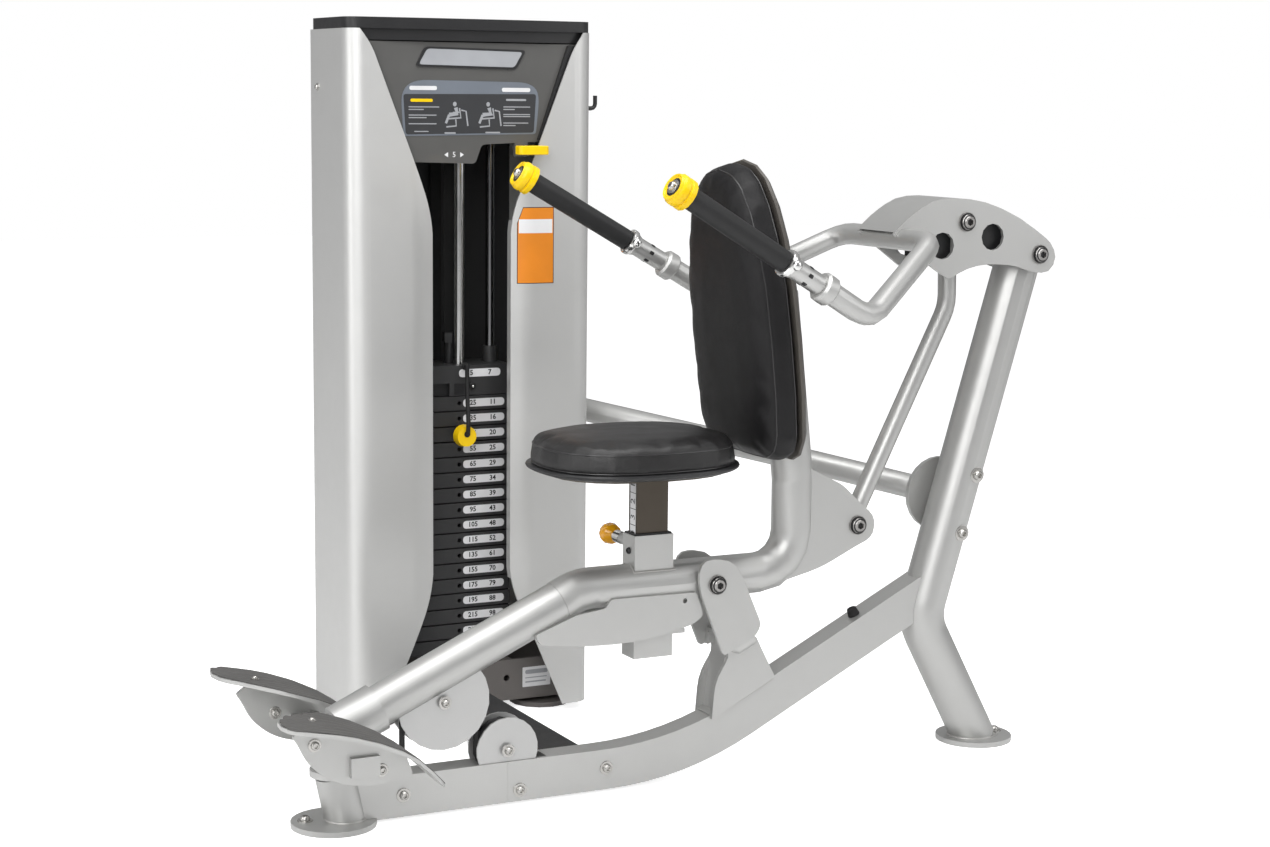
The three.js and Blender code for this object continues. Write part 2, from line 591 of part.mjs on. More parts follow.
function topCap() {
  const h = TOWER.half - FUSE;
  const low = TOWER.top + GAP;
  const high = TOWER.top + CAP.thick;
  const front = TOWER.front + CAP.bow / 5;
  const plan = (d) => [
    [TOWER.x - h + d, front + CAP.bow + d, CAP.corner],
    [TOWER.x - h / 2, front + d, CAP.shoulder],
    [TOWER.x + h / 2, front + d, CAP.shoulder],
    [TOWER.x + h - d, front + CAP.bow + d, CAP.corner],
    [TOWER.x + h - d, TOWER.back - FUSE - d, CAP.corner],
    [TOWER.x - h + d, TOWER.back - FUSE - d, CAP.corner],
  ];
  const inset = TOWER.sheet + FUSE * 4;
  const skirt = plateZ(plan(inset), low - CAP.skirt, low + FUSE, [], 3);
  const inner = plateZ(plan(inset + CAP.skirtWall), low - CAP.skirt - OVER, low - FUSE, [], 3);
  const tray = plateZ(plan(CAP.rim), high - CAP.sag, high + OVER);
  place('top_cap', cut(join(plateZ(plan(0), low, high), cut(skirt, inner)), tray), BLACK_PLASTIC);
}

const BOARD = { set: 16, thick: 10, margin: 12, topDown: 24, lowDown: 263, tab: 24, tabAt: 180, tabHigh: 20, round: 6 };
const LEVER = { x: 86, length: 62, deep: 26, out: 32, below: 8, thick: 15, bevel: 1.5, shaftIn: 22, shaftRise: 8, shaft: 7, round: 8 };

function headerBoard() {
  const y = TOWER.front + BOARD.set;
  const low = TOWER.top - BOARD.lowDown;
  const high = TOWER.top - BOARD.topDown;
  const half = WINDOW.highHalf + BOARD.margin;
  const leverX = TOWER.x + LEVER.x;
  const leverZ = low + BOARD.tabHigh;
  const shaftX = leverX + LEVER.shaftIn;
  const shaftZ = leverZ + LEVER.shaftRise;
  const lowShares = [
    [-0.6, 0.017, 0.026],
    [0.035, 0, 0.035],
    [0.096, 0.159, 0.035],
    [0.66, 0.184, 0.026],
  ];
  const board = [
    ...fromShares(TOWER.x, low, half, high - low, lowShares),
    [TOWER.x + half, high, BOARD.round],
    [TOWER.x - half, high, BOARD.round],
  ];
  const face = plateY(board, y, y + BOARD.thick);
  const seat = block(shaftX - LEVER.shaft * 2, shaftX + LEVER.shaft * 2, y, y + BOARD.thick, shaftZ - LEVER.shaft * 2, low + BOARD.tabHigh * 3);
  const tabs = both.map((s) => {
    const x = TOWER.x + s * BOARD.tabAt;
    const z = TOP_BEAM.bottom + TOP_BEAM.thick / 4;
    return block(x - BOARD.tab / 2, x + BOARD.tab / 2, y + BOARD.thick - FUSE, TOP_BEAM.front - GAP, z, z + BOARD.tabHigh);
  });
  place('header_board', join(face, seat, ...tabs), GREY_PLASTIC);

  const leverY = TOWER.front - LEVER.out;
  const plan = [
    [leverX, leverY, LEVER.round],
    [leverX + LEVER.length, leverY, LEVER.round],
    [leverX + LEVER.length, leverY + LEVER.deep, LEVER.round / 2],
    [leverX, leverY + LEVER.deep, LEVER.round / 2],
  ];
  const edge = { depth: LEVER.thick, bevelEnabled: true, bevelThickness: LEVER.bevel, bevelSize: LEVER.bevel, bevelSegments: 1, curveSegments: 4 };
  const grip = new THREE.ExtrudeGeometry(outline(plan), edge).translate(0, 0, leverZ);
  const shaft = pinY(shaftX, shaftZ, leverY + LEVER.deep - OVER, y - GAP, LEVER.shaft, 12);
  place('addon_lever', join(grip, shaft), YELLOW);
}

// A hook for a towel on the tower's side cover
const HOOK = { y: 594, down: 141, plate: 5, width: 24, height: 44, reach: 24, rise: 26, radius: 4.5, bend: 9 };

function towelHook() {
  const side = TOWER.x + TOWER.half + GAP;
  const z = TOWER.top - HOOK.down;
  const half = HOOK.height / 2;
  const plate = block(side, side + HOOK.plate, HOOK.y - HOOK.width / 2, HOOK.y + HOOK.width / 2, z - half, z + half);
  const start = side + HOOK.plate - FUSE;
  const route = [
    [start, HOOK.y, z - half / 2],
    [start + HOOK.reach, HOOK.y, z - half / 2],
    [start + HOOK.reach, HOOK.y, z - half / 2 + HOOK.rise],
  ];
  place('towel_hook', join(plate, tube(route, HOOK.radius, 0, HOOK.bend, 4, 3)), BLACK_PLASTIC);
}

// Weight stack

const STEM = { radius: 9, slip: 2, bottom: 150 };
const PIN = { radius: 4, slip: 1, knob: 23, knobEnd: 20.7, knobThick: 20, out: 41, travel: 110 };
const HEAD = { lift: 1.7, height: 62, relief: 26, reliefDeep: 10, reliefIn: 22, clevis: 11, clevisRise: 44, nut: 15, nutRise: 20, stemIn: 30 };
HEAD.bottom = STACK.topZ + HEAD.lift;
HEAD.top = HEAD.bottom + HEAD.height;
HEAD.peak = HEAD.top + HEAD.clevisRise + HEAD.nutRise;
const RISER = { radius: 12, aside: 8, before: 32, topDown: 253 };
const plateTop = (i) => STACK.topZ - STACK.pitch * i;
const pinHeight = plateTop(STACK.picked - 1) - STACK.thick / 2;
const knobFront = STACK.front - PIN.out;

const stackPlan = [
  [TOWER.x - STACK.half, STACK.front],
  [TOWER.x + STACK.half, STACK.front],
  [TOWER.x + STACK.half, STACK.back],
  [TOWER.x - STACK.half, STACK.back],
];
const rodHoles = both.map((s) => [TOWER.x + s * ROD.reach, STACK.y, ROD.radius + ROD.slip]);

// Plates whose rims stand apart, on a core that carries the holes for the rods and the stem
function weightPlates(from, to) {
  const low = plateTop(to - 1) - STACK.thick;
  const stemHole = [TOWER.x, STACK.y, STEM.radius + STEM.slip];
  const whole = plateZ(stackPlan, low, plateTop(from), [...rodHoles, stemHole], 3);
  const tools = [];
  const core = STACK.half - STACK.groove;
  const coreFront = STACK.front + STACK.groove;
  const coreBack = STACK.back - STACK.groove;
  for (let i = from; i < to; i += 1) {
    const top = plateTop(i);
    const middle = top - STACK.thick / 2;
    tools.push(pinY(TOWER.x, middle, STACK.front - OVER, STACK.y, PIN.radius + PIN.slip, 6));
    if (i === from) continue;
    const next = top + STACK.space;
    const wide = STACK.half + OVER;
    const around = block(TOWER.x - wide, TOWER.x + wide, STACK.front - OVER, STACK.back + OVER, top, next);
    tools.push(cut(around, block(TOWER.x - core, TOWER.x + core, coreFront, coreBack, top - OVER, next + OVER)));
  }
  return cut(whole, ...tools);
}

function weightStack() {
  place('resting_plates', weightPlates(STACK.picked, STACK.count), PLATE_BLACK);
  place('selected_plates', weightPlates(0, STACK.picked), PLATE_BLACK);

  const h = HEAD;
  const body = plateZ(stackPlan, h.bottom, h.top, rodHoles, 4);
  const relief = block(TOWER.x - STACK.half - OVER, TOWER.x - h.reliefIn, STACK.front - OVER, STACK.front + h.reliefDeep, h.bottom - OVER, h.bottom + h.relief);
  const bushes = both.map((s) => {
    const x = TOWER.x + s * ROD.reach;
    const sleeve = pinZ(x, STACK.y, h.top - FUSE, h.top + ROD.bushRise, ROD.radius + ROD.bush, 12);
    return cut(sleeve, pinZ(x, STACK.y, h.top - OVER, h.top + ROD.bushRise + OVER, ROD.radius + FUSE, 12));
  });
  const clevis = pinZ(TOWER.x, STACK.y, h.top - FUSE, h.top + h.clevisRise, h.clevis, 12);
  const nut = pinZ(TOWER.x, STACK.y, h.top + h.clevisRise - FUSE, h.peak, h.nut, 6);
  const stemBore = pinZ(TOWER.x, STACK.y, h.bottom - OVER, h.bottom + h.stemIn, STEM.radius + GAP, 12);
  place('top_plate', cut(join(body, ...bushes, clevis, nut), relief, stemBore), PLATE_BLACK);

  const bar = pinZ(TOWER.x, STACK.y, STEM.bottom, h.bottom + h.stemIn - GAP, STEM.radius, 12);
  const pinBore = pinY(TOWER.x, pinHeight, STACK.y - STEM.radius * 2, STACK.y + STEM.radius * 2, PIN.radius + GAP, 12);
  place('selector_stem', cut(bar, pinBore), CHROME);

  const riser = pinZ(TOWER.x + RISER.aside, STACK.y - RISER.before, h.top + GAP, TOWER.top - RISER.topDown, RISER.radius);
  place('addon_rod', riser, CHROME);

  const shank = pinY(TOWER.x, pinHeight, knobFront + PIN.knobThick - FUSE, STACK.y + STEM.radius - FUSE, PIN.radius, 12);
  const knob = rod([TOWER.x, knobFront, pinHeight], [TOWER.x, knobFront + PIN.knobThick, pinHeight], PIN.knobEnd, 18, PIN.knob);
  place('selector_pin', join(shank, knob), YELLOW);
}

// The cord from the top plate's stud down to the selector knob
const LANYARD = { radius: 2.6, stud: 5, studOut: 14, aside: 10, down: 8, sway: 8, drop: 37, rise: 24, bend: 12 };

function lanyard() {
  const c = LANYARD;
  const z = HEAD.top - c.down;
  const knobTop = pinHeight + PIN.knob;
  const route = [
    [TOWER.x + c.aside, STACK.front - c.aside, z],
    [TOWER.x + c.aside / 2, STACK.front - c.aside - c.sway, z - c.drop],
    [TOWER.x, knobFront + c.bend, knobTop + c.rise],
    [TOWER.x, knobFront + PIN.knobThick / 2, knobTop + GAP],
  ];
  const stud = pinY(TOWER.x + c.aside, z, STACK.front - c.studOut, STACK.front - GAP, c.stud, 10);
  place('pin_lanyard', join(tube(route, c.radius, 0, c.bend, 3, 2), stud), RUBBER);
}

// Belts and pulleys

const GROOVE = { rim: 3, hub: 10, dish: 6, rimWall: 4, webShare: 0.6 };

// A dished wheel whose rims keep the belt on its tread
function wheel(name, [x, y, z], radius, half, axle, alongX = false) {
  const g = GROOVE;
  const side = [
    [axle + GAP, half],
    [axle + g.hub, half],
    [radius * g.webShare, half - g.dish],
    [radius - g.rimWall, half],
    [radius + g.rim, half],
    [radius, half - g.rim],
  ];
  const profile = [...side.map(([r, h]) => [r, -h]), ...side.slice().reverse(), [axle + GAP, -half]];
  const geometry = turned([0, 0, 0], alongX ? [1, 0, 0] : [0, 1, 0], profile, 14);
  place(name, geometry, BLACK_PLASTIC, [x, y, z]);
}

// A band of the belt's thickness along a list of points in a plane
function band(points) {
  const half = BELT.thick / 2;
  const edge = (sign) =>
    points.map(([a, b], i) => {
      const [pa, pb] = points[Math.max(i - 1, 0)];
      const [na, nb] = points[Math.min(i + 1, points.length - 1)];
      const length = Math.hypot(na - pa, nb - pb);
      return [a - (sign * half * (nb - pb)) / length, b + (sign * half * (na - pa)) / length];
    });
  return outline([...edge(1), ...edge(-1).reverse()]);
}

function arc(a, b, radius, from, to, steps) {
  const points = [];
  for (let k = 0; k <= steps; k += 1) {
    const turn = THREE.MathUtils.degToRad(from + ((to - from) * k) / steps);
    points.push([a + Math.cos(turn) * radius, b + Math.sin(turn) * radius]);
  }
  return points;
}

function drive() {
  const run = BELT.thick / 2 + BELT.slack;
  const half = BELT.width / 2;
  wheel('top_pulley', [TOWER.x, WHEEL.y, WHEEL.topZ], WHEEL.radius, WHEEL.half, WHEEL.axle, true);
  wheel('base_pulley', [TOWER.x, WHEEL.y, WHEEL.lowZ], WHEEL.lowRadius, WHEEL.half, WHEEL.axle, true);
  wheel('rail_pulley', [RAIL_WHEEL.x, 0, RAIL_WHEEL.z], RAIL_WHEEL.radius, RAIL_WHEEL.half, GUARD.axle);
  wheel('carriage_pulley', [LIFT_WHEEL.x, 0, LIFT_WHEEL.z], LIFT_WHEEL.radius, LIFT_WHEEL.half, GUARD.axle);

  const lift = block(TOWER.x - half, TOWER.x + half, liftY - BELT.thick / 2, liftY + BELT.thick / 2, HEAD.peak + GAP, WHEEL.topZ - GAP);
  place('lift_belt', lift, RUBBER);
  const down = band([
    ...arc(WHEEL.y, WHEEL.topZ, WHEEL.radius + run, 180, 0, 14),
    ...arc(WHEEL.y, WHEEL.lowZ, WHEEL.lowRadius + run, 0, -90, 8),
    [BASE.front + BASE.wall * 2, WHEEL.lowZ - WHEEL.lowRadius - run],
  ]);
  const drop = new THREE.ExtrudeGeometry(down, { depth: BELT.width, bevelEnabled: false });
  const toYZ = new THREE.Matrix4().makeBasis(new THREE.Vector3(0, 1, 0), new THREE.Vector3(0, 0, 1), new THREE.Vector3(1, 0, 0));
  place('drive_belt', drop.applyMatrix4(toYZ).translate(TOWER.x - half, 0, 0), RUBBER);

  const loop = band([
    [LIFT_WHEEL.x - LIFT_WHEEL.radius - run, railTop + GAP],
    ...arc(LIFT_WHEEL.x, LIFT_WHEEL.z, LIFT_WHEEL.radius + run, 180, 0, 16),
    ...arc(RAIL_WHEEL.x, RAIL_WHEEL.z, RAIL_WHEEL.radius + run, 180, 270, 8),
    [RAIL_WHEEL.x + RAIL_WHEEL.radius, RAIL_WHEEL.z - RAIL_WHEEL.radius - run],
  ]);
  const looped = new THREE.ExtrudeGeometry(loop, { depth: BELT.width, bevelEnabled: false });
  place('carriage_belt', looped.rotateX(Math.PI / 2).translate(0, half, 0), RUBBER);
}

function guards() {
  const g = GUARD;
  const discs = (w) => both.map((s) => pinY(w.x, w.z, ...spanY(s, g.inner, g.inner + g.thick), w.guard, 22));
  const reach = g.inner + g.thick + g.axleOut;
  const axle = (w) => pinY(w.x, w.z, -reach, reach, g.axle);
  const aside = (w, z0, z1) => block(w.x - w.guard * 2, w.x + w.guard * 2, -reach, reach, z0, z1);
  const sunk = aside(RAIL_WHEEL, 0, railTop + GAP);
  place('rail_pulley_guard', join(cut(join(...discs(RAIL_WHEEL)), sunk), axle(RAIL_WHEEL)), SILVER);
  const barrel = rod(frontPoint(-OVER), frontPoint(frontLength), TUBE_R + GAP, 20);
  const over = aside(LIFT_WHEEL, LIFT_WHEEL.z + g.trim, LIFT_WHEEL.z + LIFT_WHEEL.guard + OVER);
  place('carriage_pulley_guard', largest(join(cut(join(...discs(LIFT_WHEEL)), barrel, over), axle(LIFT_WHEEL))), SILVER);
}

// Seat carriage

const SLEEVE = { beforeRock: 120, half: 40, side: 25, drop: 132, rise: 99 };
SLEEVE.x = ROCK.x - SLEEVE.beforeRock;
SLEEVE.bottom = ROCK.z - SLEEVE.drop;
SLEEVE.top = ROCK.z + SLEEVE.rise;
const POST = { half: 32, side: 17, wall: 3, bottomIn: 53 };
POST.bottom = SLEEVE.bottom + POST.bottomIn;
const PULL = { before: 20, down: 20, radius: 5.5, housing: 11, housingOut: 40, pitch: 25, slip: 0.8 };
const pullHoles = { up: 3, down: 2 };
PULL.x = SLEEVE.x - PULL.before;
PULL.z = SLEEVE.top - PULL.down;
const BACK = { afterRock: 68, aboveRock: 219, lean: 6.6, pad: 62, shell: 20, height: 572, half: 159, crown: 8 };
BACK.x = ROCK.x + BACK.afterRock;
BACK.z = ROCK.z + BACK.aboveRock;
const SPINE = { afterRock: 188, bend: 78, run: 44, riseTo: 181, back: 360 };
const GUSSET = { inner: 20, size: 220 };
const BELLY = { inner: 32, length: 366, height: 100, slot: 5, slotBefore: 62, slotDown: 27, tie: 22, tieThick: 8, tieDown: 89 };
const ROCK_BOSS = 22;

function spineForm(radius, wall) {
  const lean = THREE.MathUtils.degToRad(-BACK.lean);
  const knee = ROCK.x + SPINE.afterRock;
  const level = ROCK.z + RISE.rockToTube;
  const shoulder = ROCK.z + SPINE.riseTo;
  const slope = frontWay[1] / frontWay[0];
  const route = [
    [SOCKET.x, 0, SOCKET.z],
    [SOCKET.x + SPINE.run, 0, SOCKET.z + SPINE.run * slope],
    [knee, 0, level],
    [knee, 0, shoulder],
    [knee + Math.sin(lean) * SPINE.back, 0, shoulder + Math.cos(lean) * SPINE.back],
  ];
  return solid(tube(route, radius, wall, SPINE.bend, 6, 4));
}

function carriageFrame() {
  const outer = TUBE_R + SLEEVE_WALL;
  const inner = TUBE_R - TUBE_WALL + GAP;
  const gussetShares = [
    [-0.55, 0.568, 0.027],
    [-0.441, 0.505, 0.045],
    [-0.159, 0.368, 0.064],
    [0.018, 0.2, 0.064],
    [0.182, 0.064, 0.082],
    [0.164, -0.118, 0.091],
    [0, -0.182, 0.064],
    [-0.364, -0.35, 0.136],
    [-0.841, -0.459, 0.091],
    [-1.005, -0.45, 0.027],
    [-0.805, -0.332, 0.136],
    [-0.595, -0.114, 0.136],
  ];
  const bellyShares = [
    [-1, -0.64, 0.011],
    [-0.978, -0.83, 0.027],
    [-0.779, -0.93, 0.109],
    [-0.522, -0.97, 0.109],
    [-0.292, -0.89, 0.109],
    [-0.112, -0.72, 0.038],
    [-0.06, -0.57, 0.022],
    [-0.104, -0.13, 0.016],
    [-0.585, -0.11, 0.016],
    [-0.617, -0.27, 0.011],
    [-0.773, -0.34, 0.016],
  ];
  const gusset = fromShares(LINK_END.x, LINK_END.z, GUSSET.size, GUSSET.size, gussetShares);
  const belly = fromShares(ROCK.x, ROCK.z, BELLY.length, BELLY.height, bellyShares);
  const bellyOut = BELLY.inner + PLATE;
  const plates = both.flatMap((s) => [
    plateY(gusset, ...spanY(s, GUSSET.inner, GUSSET.inner + PLATE), 3),
    plateY(belly, ...spanY(s, BELLY.inner, bellyOut), 3),
  ]);
  const hollow = spineForm(inner, 0);
  const barrel = rod(frontPoint(-OVER), frontPoint(frontLength + OVER), TUBE_R + GAP, 20);
  const slot = pinY(ROCK.x - BELLY.slotBefore, ROCK.z - BELLY.slotDown, -bellyOut - OVER, bellyOut + OVER, BELLY.slot, 8);
  const ribs = plates.map((p) => cut(p, hollow, barrel, slot));

  const left = SLEEVE.x - SLEEVE.half;
  const right = SLEEVE.x + SLEEVE.half;
  const tieZ = ROCK.z - BELLY.tieDown;
  const tie = block(left - BELLY.tie, right + BELLY.tie, -BELLY.inner - FUSE, BELLY.inner + FUSE, tieZ, tieZ + BELLY.tieThick);
  const sleeve = block(left, right, -SLEEVE.side, SLEEVE.side, SLEEVE.bottom, SLEEVE.top);
  const housing = pinY(PULL.x, PULL.z, SLEEVE.side - FUSE, SLEEVE.side + PULL.housingOut, PULL.housing, 14);
  const bossHalf = BRACKET.high - GAP * 2;
  const boss = pinY(ROCK.x, ROCK.z, -bossHalf, bossHalf, ROCK_BOSS, 18);
  const body = join(spineForm(outer, outer - inner), sleeve, boss, ...ribs, tie, housing);

  const postX = POST.half + SLIP;
  const postY = POST.side + SLIP;
  const frame = cut(
    body,
    block(SLEEVE.x - postX, SLEEVE.x + postX, -postY, postY, SLEEVE.bottom - OVER, SLEEVE.top + OVER),
    pinY(ROCK.x, ROCK.z, -BRACKET.high, BRACKET.high, BORE_R),
    pinY(PULL.x, PULL.z, 0, SLEEVE.side + PULL.housingOut + OVER, PULL.radius + GAP, 12),
    pinY(LINK_END.x, LINK_END.z, -BRACKET.high, BRACKET.high, BORE_R),
  );
  place('carriage_frame', largest(frame), SILVER);
}

function frontTube() {
  const barrel = rod(frontPoint(0), frontPoint(frontLength - GAP), TUBE_R, 20);
  const wall = TUBE_WALL * 2;
  const hollow = rod(frontPoint(-OVER), frontPoint(frontLength + FRONT.spigot + OVER), TUBE_R - wall, 16);
  const spigotR = TUBE_R - TUBE_WALL - FRONT.spigotSlip;
  const spigot = rod(frontPoint(frontLength - GAP - FUSE), frontPoint(frontLength + FRONT.spigot), spigotR, 16);
  const half = LIFT_WHEEL.half + FUSE * 1.5;
  const room = LIFT_WHEEL.radius + BELT.thick + OVER * 2;
  const slot = pinY(LIFT_WHEEL.x, LIFT_WHEEL.z, -half, half, room, 26);
  place('front_tube', cut(join(barrel, spigot), hollow, slot), SILVER);
}

// Footrests: two bowed treads on crescent plates at the foot of the front tube

const TREAD = { inner: 71, outer: 241, frontX: -160, length: 298, lowZ: 106, height: 140, thick: 7 };
const CRESCENT = { frontX: -182, length: 320, lowZ: 100, height: 152 };
const BAR = { before: 27, after: 25, bottom: 133, top: 167, out: 13 };
const SADDLE = { before: 32, after: 30, half: 28, height: 45 };
const CLAMP = { before: 34, after: 46, wall: 6 };

// The tread's bowed line as shares of its length and height
const treadShares = [
  [0, 1],
  [0.1, 0.979],
  [0.188, 0.943],
  [0.285, 0.9],
  [0.386, 0.843],
  [0.537, 0.729],
  [0.685, 0.579],
  [0.789, 0.436],
  [0.893, 0.236],
  [1, 0],
];
const treadLine = treadShares.map(([u, v]) => [TREAD.frontX + u * TREAD.length, TREAD.lowZ + v * TREAD.height]);

function treadBand(thick) {
  const lower = treadLine.map(([x, z]) => [x, z - thick]);
  return [...treadLine, ...lower.reverse()];
}

function footrests() {
  const t = TREAD;
  const middle = (t.inner + t.outer) / 2;
  const crescentShares = [
    [0.169, 0.75, 0.019],
    [0.2, 0.658, 0.044],
    [0.259, 0.408, 0.094],
    [0.362, 0.224, 0.075],
    [0.475, 0.125, 0.062],
    [0.613, 0.086, 0.062],
    [0.731, 0.105, 0.062],
    [0.844, 0.158, 0.019],
  ];
  const carried = treadLine.slice(2, -2).map(([x, z]) => [x, z - t.thick - GAP]);
  const c = CRESCENT;
  const crescent = [...fromShares(c.frontX, c.lowZ, c.length, c.height, crescentShares), ...carried.reverse()];
  const plates = both.map((s) => plateY(crescent, ...spanY(s, middle - PLATE / 2, middle + PLATE / 2)));
  const reach = middle + BAR.out;
  const bar = block(-BAR.before, BAR.after, -reach, reach, BAR.bottom, BAR.top);
  const seatZ = POST_LEAN.top + POST_LEAN.collarThick + GAP;
  const saddle = block(-SADDLE.before, SADDLE.after, -SADDLE.half, SADDLE.half, seatZ, seatZ + SADDLE.height);
  const clamp = rod(frontPoint(-CLAMP.before), frontPoint(CLAMP.after), TUBE_R + CLAMP.wall, 20);
  const barrel = rod(frontPoint(-GAP), frontPoint(frontLength), TUBE_R + GAP, 20);
  place('footrest_frame', cut(join(...plates, bar, saddle, clamp), barrel), SILVER);

  // The sole-shaped plan from the toe's outer corner round to its inner one: shares of length and width
  const planShares = [
    [0, 1, 0.17],
    [0.671, 1, 0.3],
    [1, 0.7, 0.06],
    [1, 0.418, 0.06],
    [0.705, 0, 0.3],
    [0.369, 0, 0.2],
    [0, 0.465, 0.2],
  ];
  both.forEach((s) => {
    const sheet = plateY(treadBand(t.thick), ...spanY(s, t.inner, t.outer));
    const plan = fromShares(t.frontX, s * t.inner, t.length, s * (t.outer - t.inner), planShares);
    const trim = plateZ(plan, t.lowZ - t.thick * 2, t.lowZ + t.height + t.thick, [], 3);
    place(s < 0 ? 'footrest_near' : 'footrest_far', solid(sheet).intersect(solid(trim)), GREY_PLASTIC);
  });
}

// Seat and backrest

const SEAT = { beforeRock: 154, halfLength: 196, halfWidth: 165, bottom: 608, thick: 54, crown: 9, panThick: 10, mount: 34, mountSide: 48, mountThick: 18 };
SEAT.x = ROCK.x - SEAT.beforeRock;
const squareness = 2.5;

// A rounded rectangle between an ellipse and its box
function roundedLoop(halfLength, halfWidth, steps) {
  const points = [];
  for (let k = 0; k < steps; k += 1) {
    const turn = (Math.PI * 2 * k) / steps;
    const c = Math.cos(turn);
    const s = Math.sin(turn);
    const u = Math.sign(c) * halfLength * Math.abs(c) ** (2 / squareness);
    const v = Math.sign(s) * halfWidth * Math.abs(s) ** (2 / squareness);
    points.push([u, v]);
  }
  return points;
}

function seat() {
  const loop = roundedLoop(SEAT.halfLength, SEAT.halfWidth, 24);
  const ringShares = [
    [0.93, 0],
    [0.985, 0.08],
    [1, 0.22],
    [0.985, 0.48],
    [0.975, 0.74],
    [0.95, 0.93],
    [0.9, 1],
  ];
  const crownShares = [
    [0.7, 0.5],
    [0.4, 0.9],
  ];
  const rings = [
    ...ringShares.map(([share, up]) => [share, up * SEAT.thick]),
    ...crownShares.map(([share, up]) => [share, SEAT.thick + up * SEAT.crown]),
  ];
  place('seat_pad', cushion(loop, rings, (u, v, h) => [SEAT.x + u, v, SEAT.bottom + h]), VINYL);

  const panTop = SEAT.bottom - GAP;
  const panBottom = panTop - SEAT.panThick;
  const panShare = 0.86;
  const panLoop = roundedLoop(SEAT.halfLength * panShare, SEAT.halfWidth * panShare, 24);
  const pan = plateZ(panLoop.map(([u, v]) => [SEAT.x + u, v]), panBottom, panTop);
  const ear = POST.half + SEAT.mount;
  const mount = block(SLEEVE.x - ear, SLEEVE.x + ear, -SEAT.mountSide, SEAT.mountSide, panTop - SEAT.mountThick, panBottom + FUSE);
  const w = POST.wall;
  const inX = POST.half - w;
  const inY = POST.side - w;
  const column = cut(
    block(SLEEVE.x - POST.half, SLEEVE.x + POST.half, -POST.side, POST.side, POST.bottom, panBottom),
    block(SLEEVE.x - inX, SLEEVE.x + inX, -inY, inY, POST.bottom - OVER, panTop - SEAT.mountThick),
  );
  const holes = [];
  for (let k = -pullHoles.down; k <= pullHoles.up; k += 1) {
    holes.push(pinY(PULL.x, PULL.z + k * PULL.pitch, 0, POST.side + OVER, PULL.radius + PULL.slip, 10));
  }
  place('seat_post', cut(join(column, pan, mount), ...holes), CHROME);
}

// The sprung pin that holds the seat post, with its round pull knob
const KNOB = { reach: 77, radius: 21, neck: 9, length: 35, collar: 9, collarLength: 22 };

function pullPin() {
  const start = POST.side + GAP;
  const housingEnd = SLEEVE.side + PULL.housingOut + GAP;
  const base = SLEEVE.side + KNOB.reach;
  const knobShares = [
    [0.9, 0.2],
    [1, 0.52],
    [0.88, 0.8],
    [0.52, 0.97],
  ];
  const profile = [
    [0, start],
    [PULL.radius, start],
    [PULL.radius, housingEnd],
    [KNOB.collar, housingEnd],
    [KNOB.collar, housingEnd + KNOB.collarLength],
    [PULL.radius, housingEnd + KNOB.collarLength],
    [PULL.radius, base],
    [KNOB.neck, base],
    ...knobShares.map(([r, h]) => [r * KNOB.radius, base + h * KNOB.length]),
    [0, base + KNOB.length],
  ];
  place('seat_pull_pin', turned([PULL.x, 0, PULL.z], [PULL.x, 1, PULL.z], profile, 12), YELLOW);
}

// Points of the leaning backrest: up its height, across, and out towards the sitter
const backLean = THREE.MathUtils.degToRad(BACK.lean);
const backPoint = (up, across, out) => [
  BACK.x - Math.sin(backLean) * up - Math.cos(backLean) * out,
  across,
  BACK.z + Math.cos(backLean) * up - Math.sin(backLean) * out,
];

function backrest() {
  // Half the outline from the foot to the top: shares of the height and of the half width
  const sideShares = [
    [0, 0.604],
    [0.024, 0.792],
    [0.077, 0.918],
    [0.227, 0.987],
    [0.42, 1],
    [0.594, 0.969],
    [0.752, 0.868],
    [0.865, 0.717],
    [0.944, 0.528],
    [0.983, 0.314],
  ];
  const middle = BACK.height / 2;
  const side = sideShares.map(([up, across]) => [up * BACK.height - middle, across * BACK.half]);
  const mirrored = side.map(([up, across]) => [up, -across]);
  const loop = [[-middle, 0], ...mirrored, [middle, 0], ...side.slice().reverse()];
  const at = (u, v, n) => backPoint(middle + u, v, n);
  const padShares = [
    [0.95, -1],
    [0.99, -0.9],
    [1, -0.68],
    [0.985, -0.39],
    [0.95, -0.13],
    [0.9, -0.016],
  ];
  const crownShares = [
    [0.72, 0.5],
    [0.4, 1],
  ];
  const rings = [...padShares.map(([share, out]) => [share, out * BACK.pad]), ...crownShares.map(([share, out]) => [share, out * BACK.crown])];
  place('backrest_pad', cushion(loop, rings, at), VINYL);

  const back = -BACK.pad - GAP;
  const shellShares = [
    [0.8, 1],
    [0.93, 0.65],
    [0.975, 0.25],
    [0.97, 0],
  ];
  const shell = cushion(loop, shellShares.map(([share, deep]) => [share, back - deep * BACK.shell]), at);
  place('backrest_shell', cut(shell, spineForm(TUBE_R + SLEEVE_WALL + GAP, 0)), BLACK_PLASTIC);
}

// Press arm

const HANDLE = { radius: 21, crossInset: 28, crossRise: 35, crossHalf: 158, elbowReach: 220, elbowHalf: 291, elbowDown: 89, bendRadius: 58 };
const GRIP = { rootReach: 97, rootHalf: 298, rootDown: 32, tipReach: 317, tipHalf: 320, tipRise: 152 };
HANDLE.crossBefore = ARM_BOX.length - HANDLE.crossInset;
HANDLE.elbowBefore = HANDLE.crossBefore + HANDLE.elbowReach;
GRIP.rootBefore = HANDLE.elbowBefore + GRIP.rootReach;
GRIP.tipBefore = GRIP.rootBefore + GRIP.tipReach;
const BARREL = { collar: 14, collarR: 28, sleeve: 74, sleeveR: 19, ring: 12, ringR: 24, grip: 232, gripR: 20, coreR: 12.7, edge: 2, cap: 30, capR: 29 };

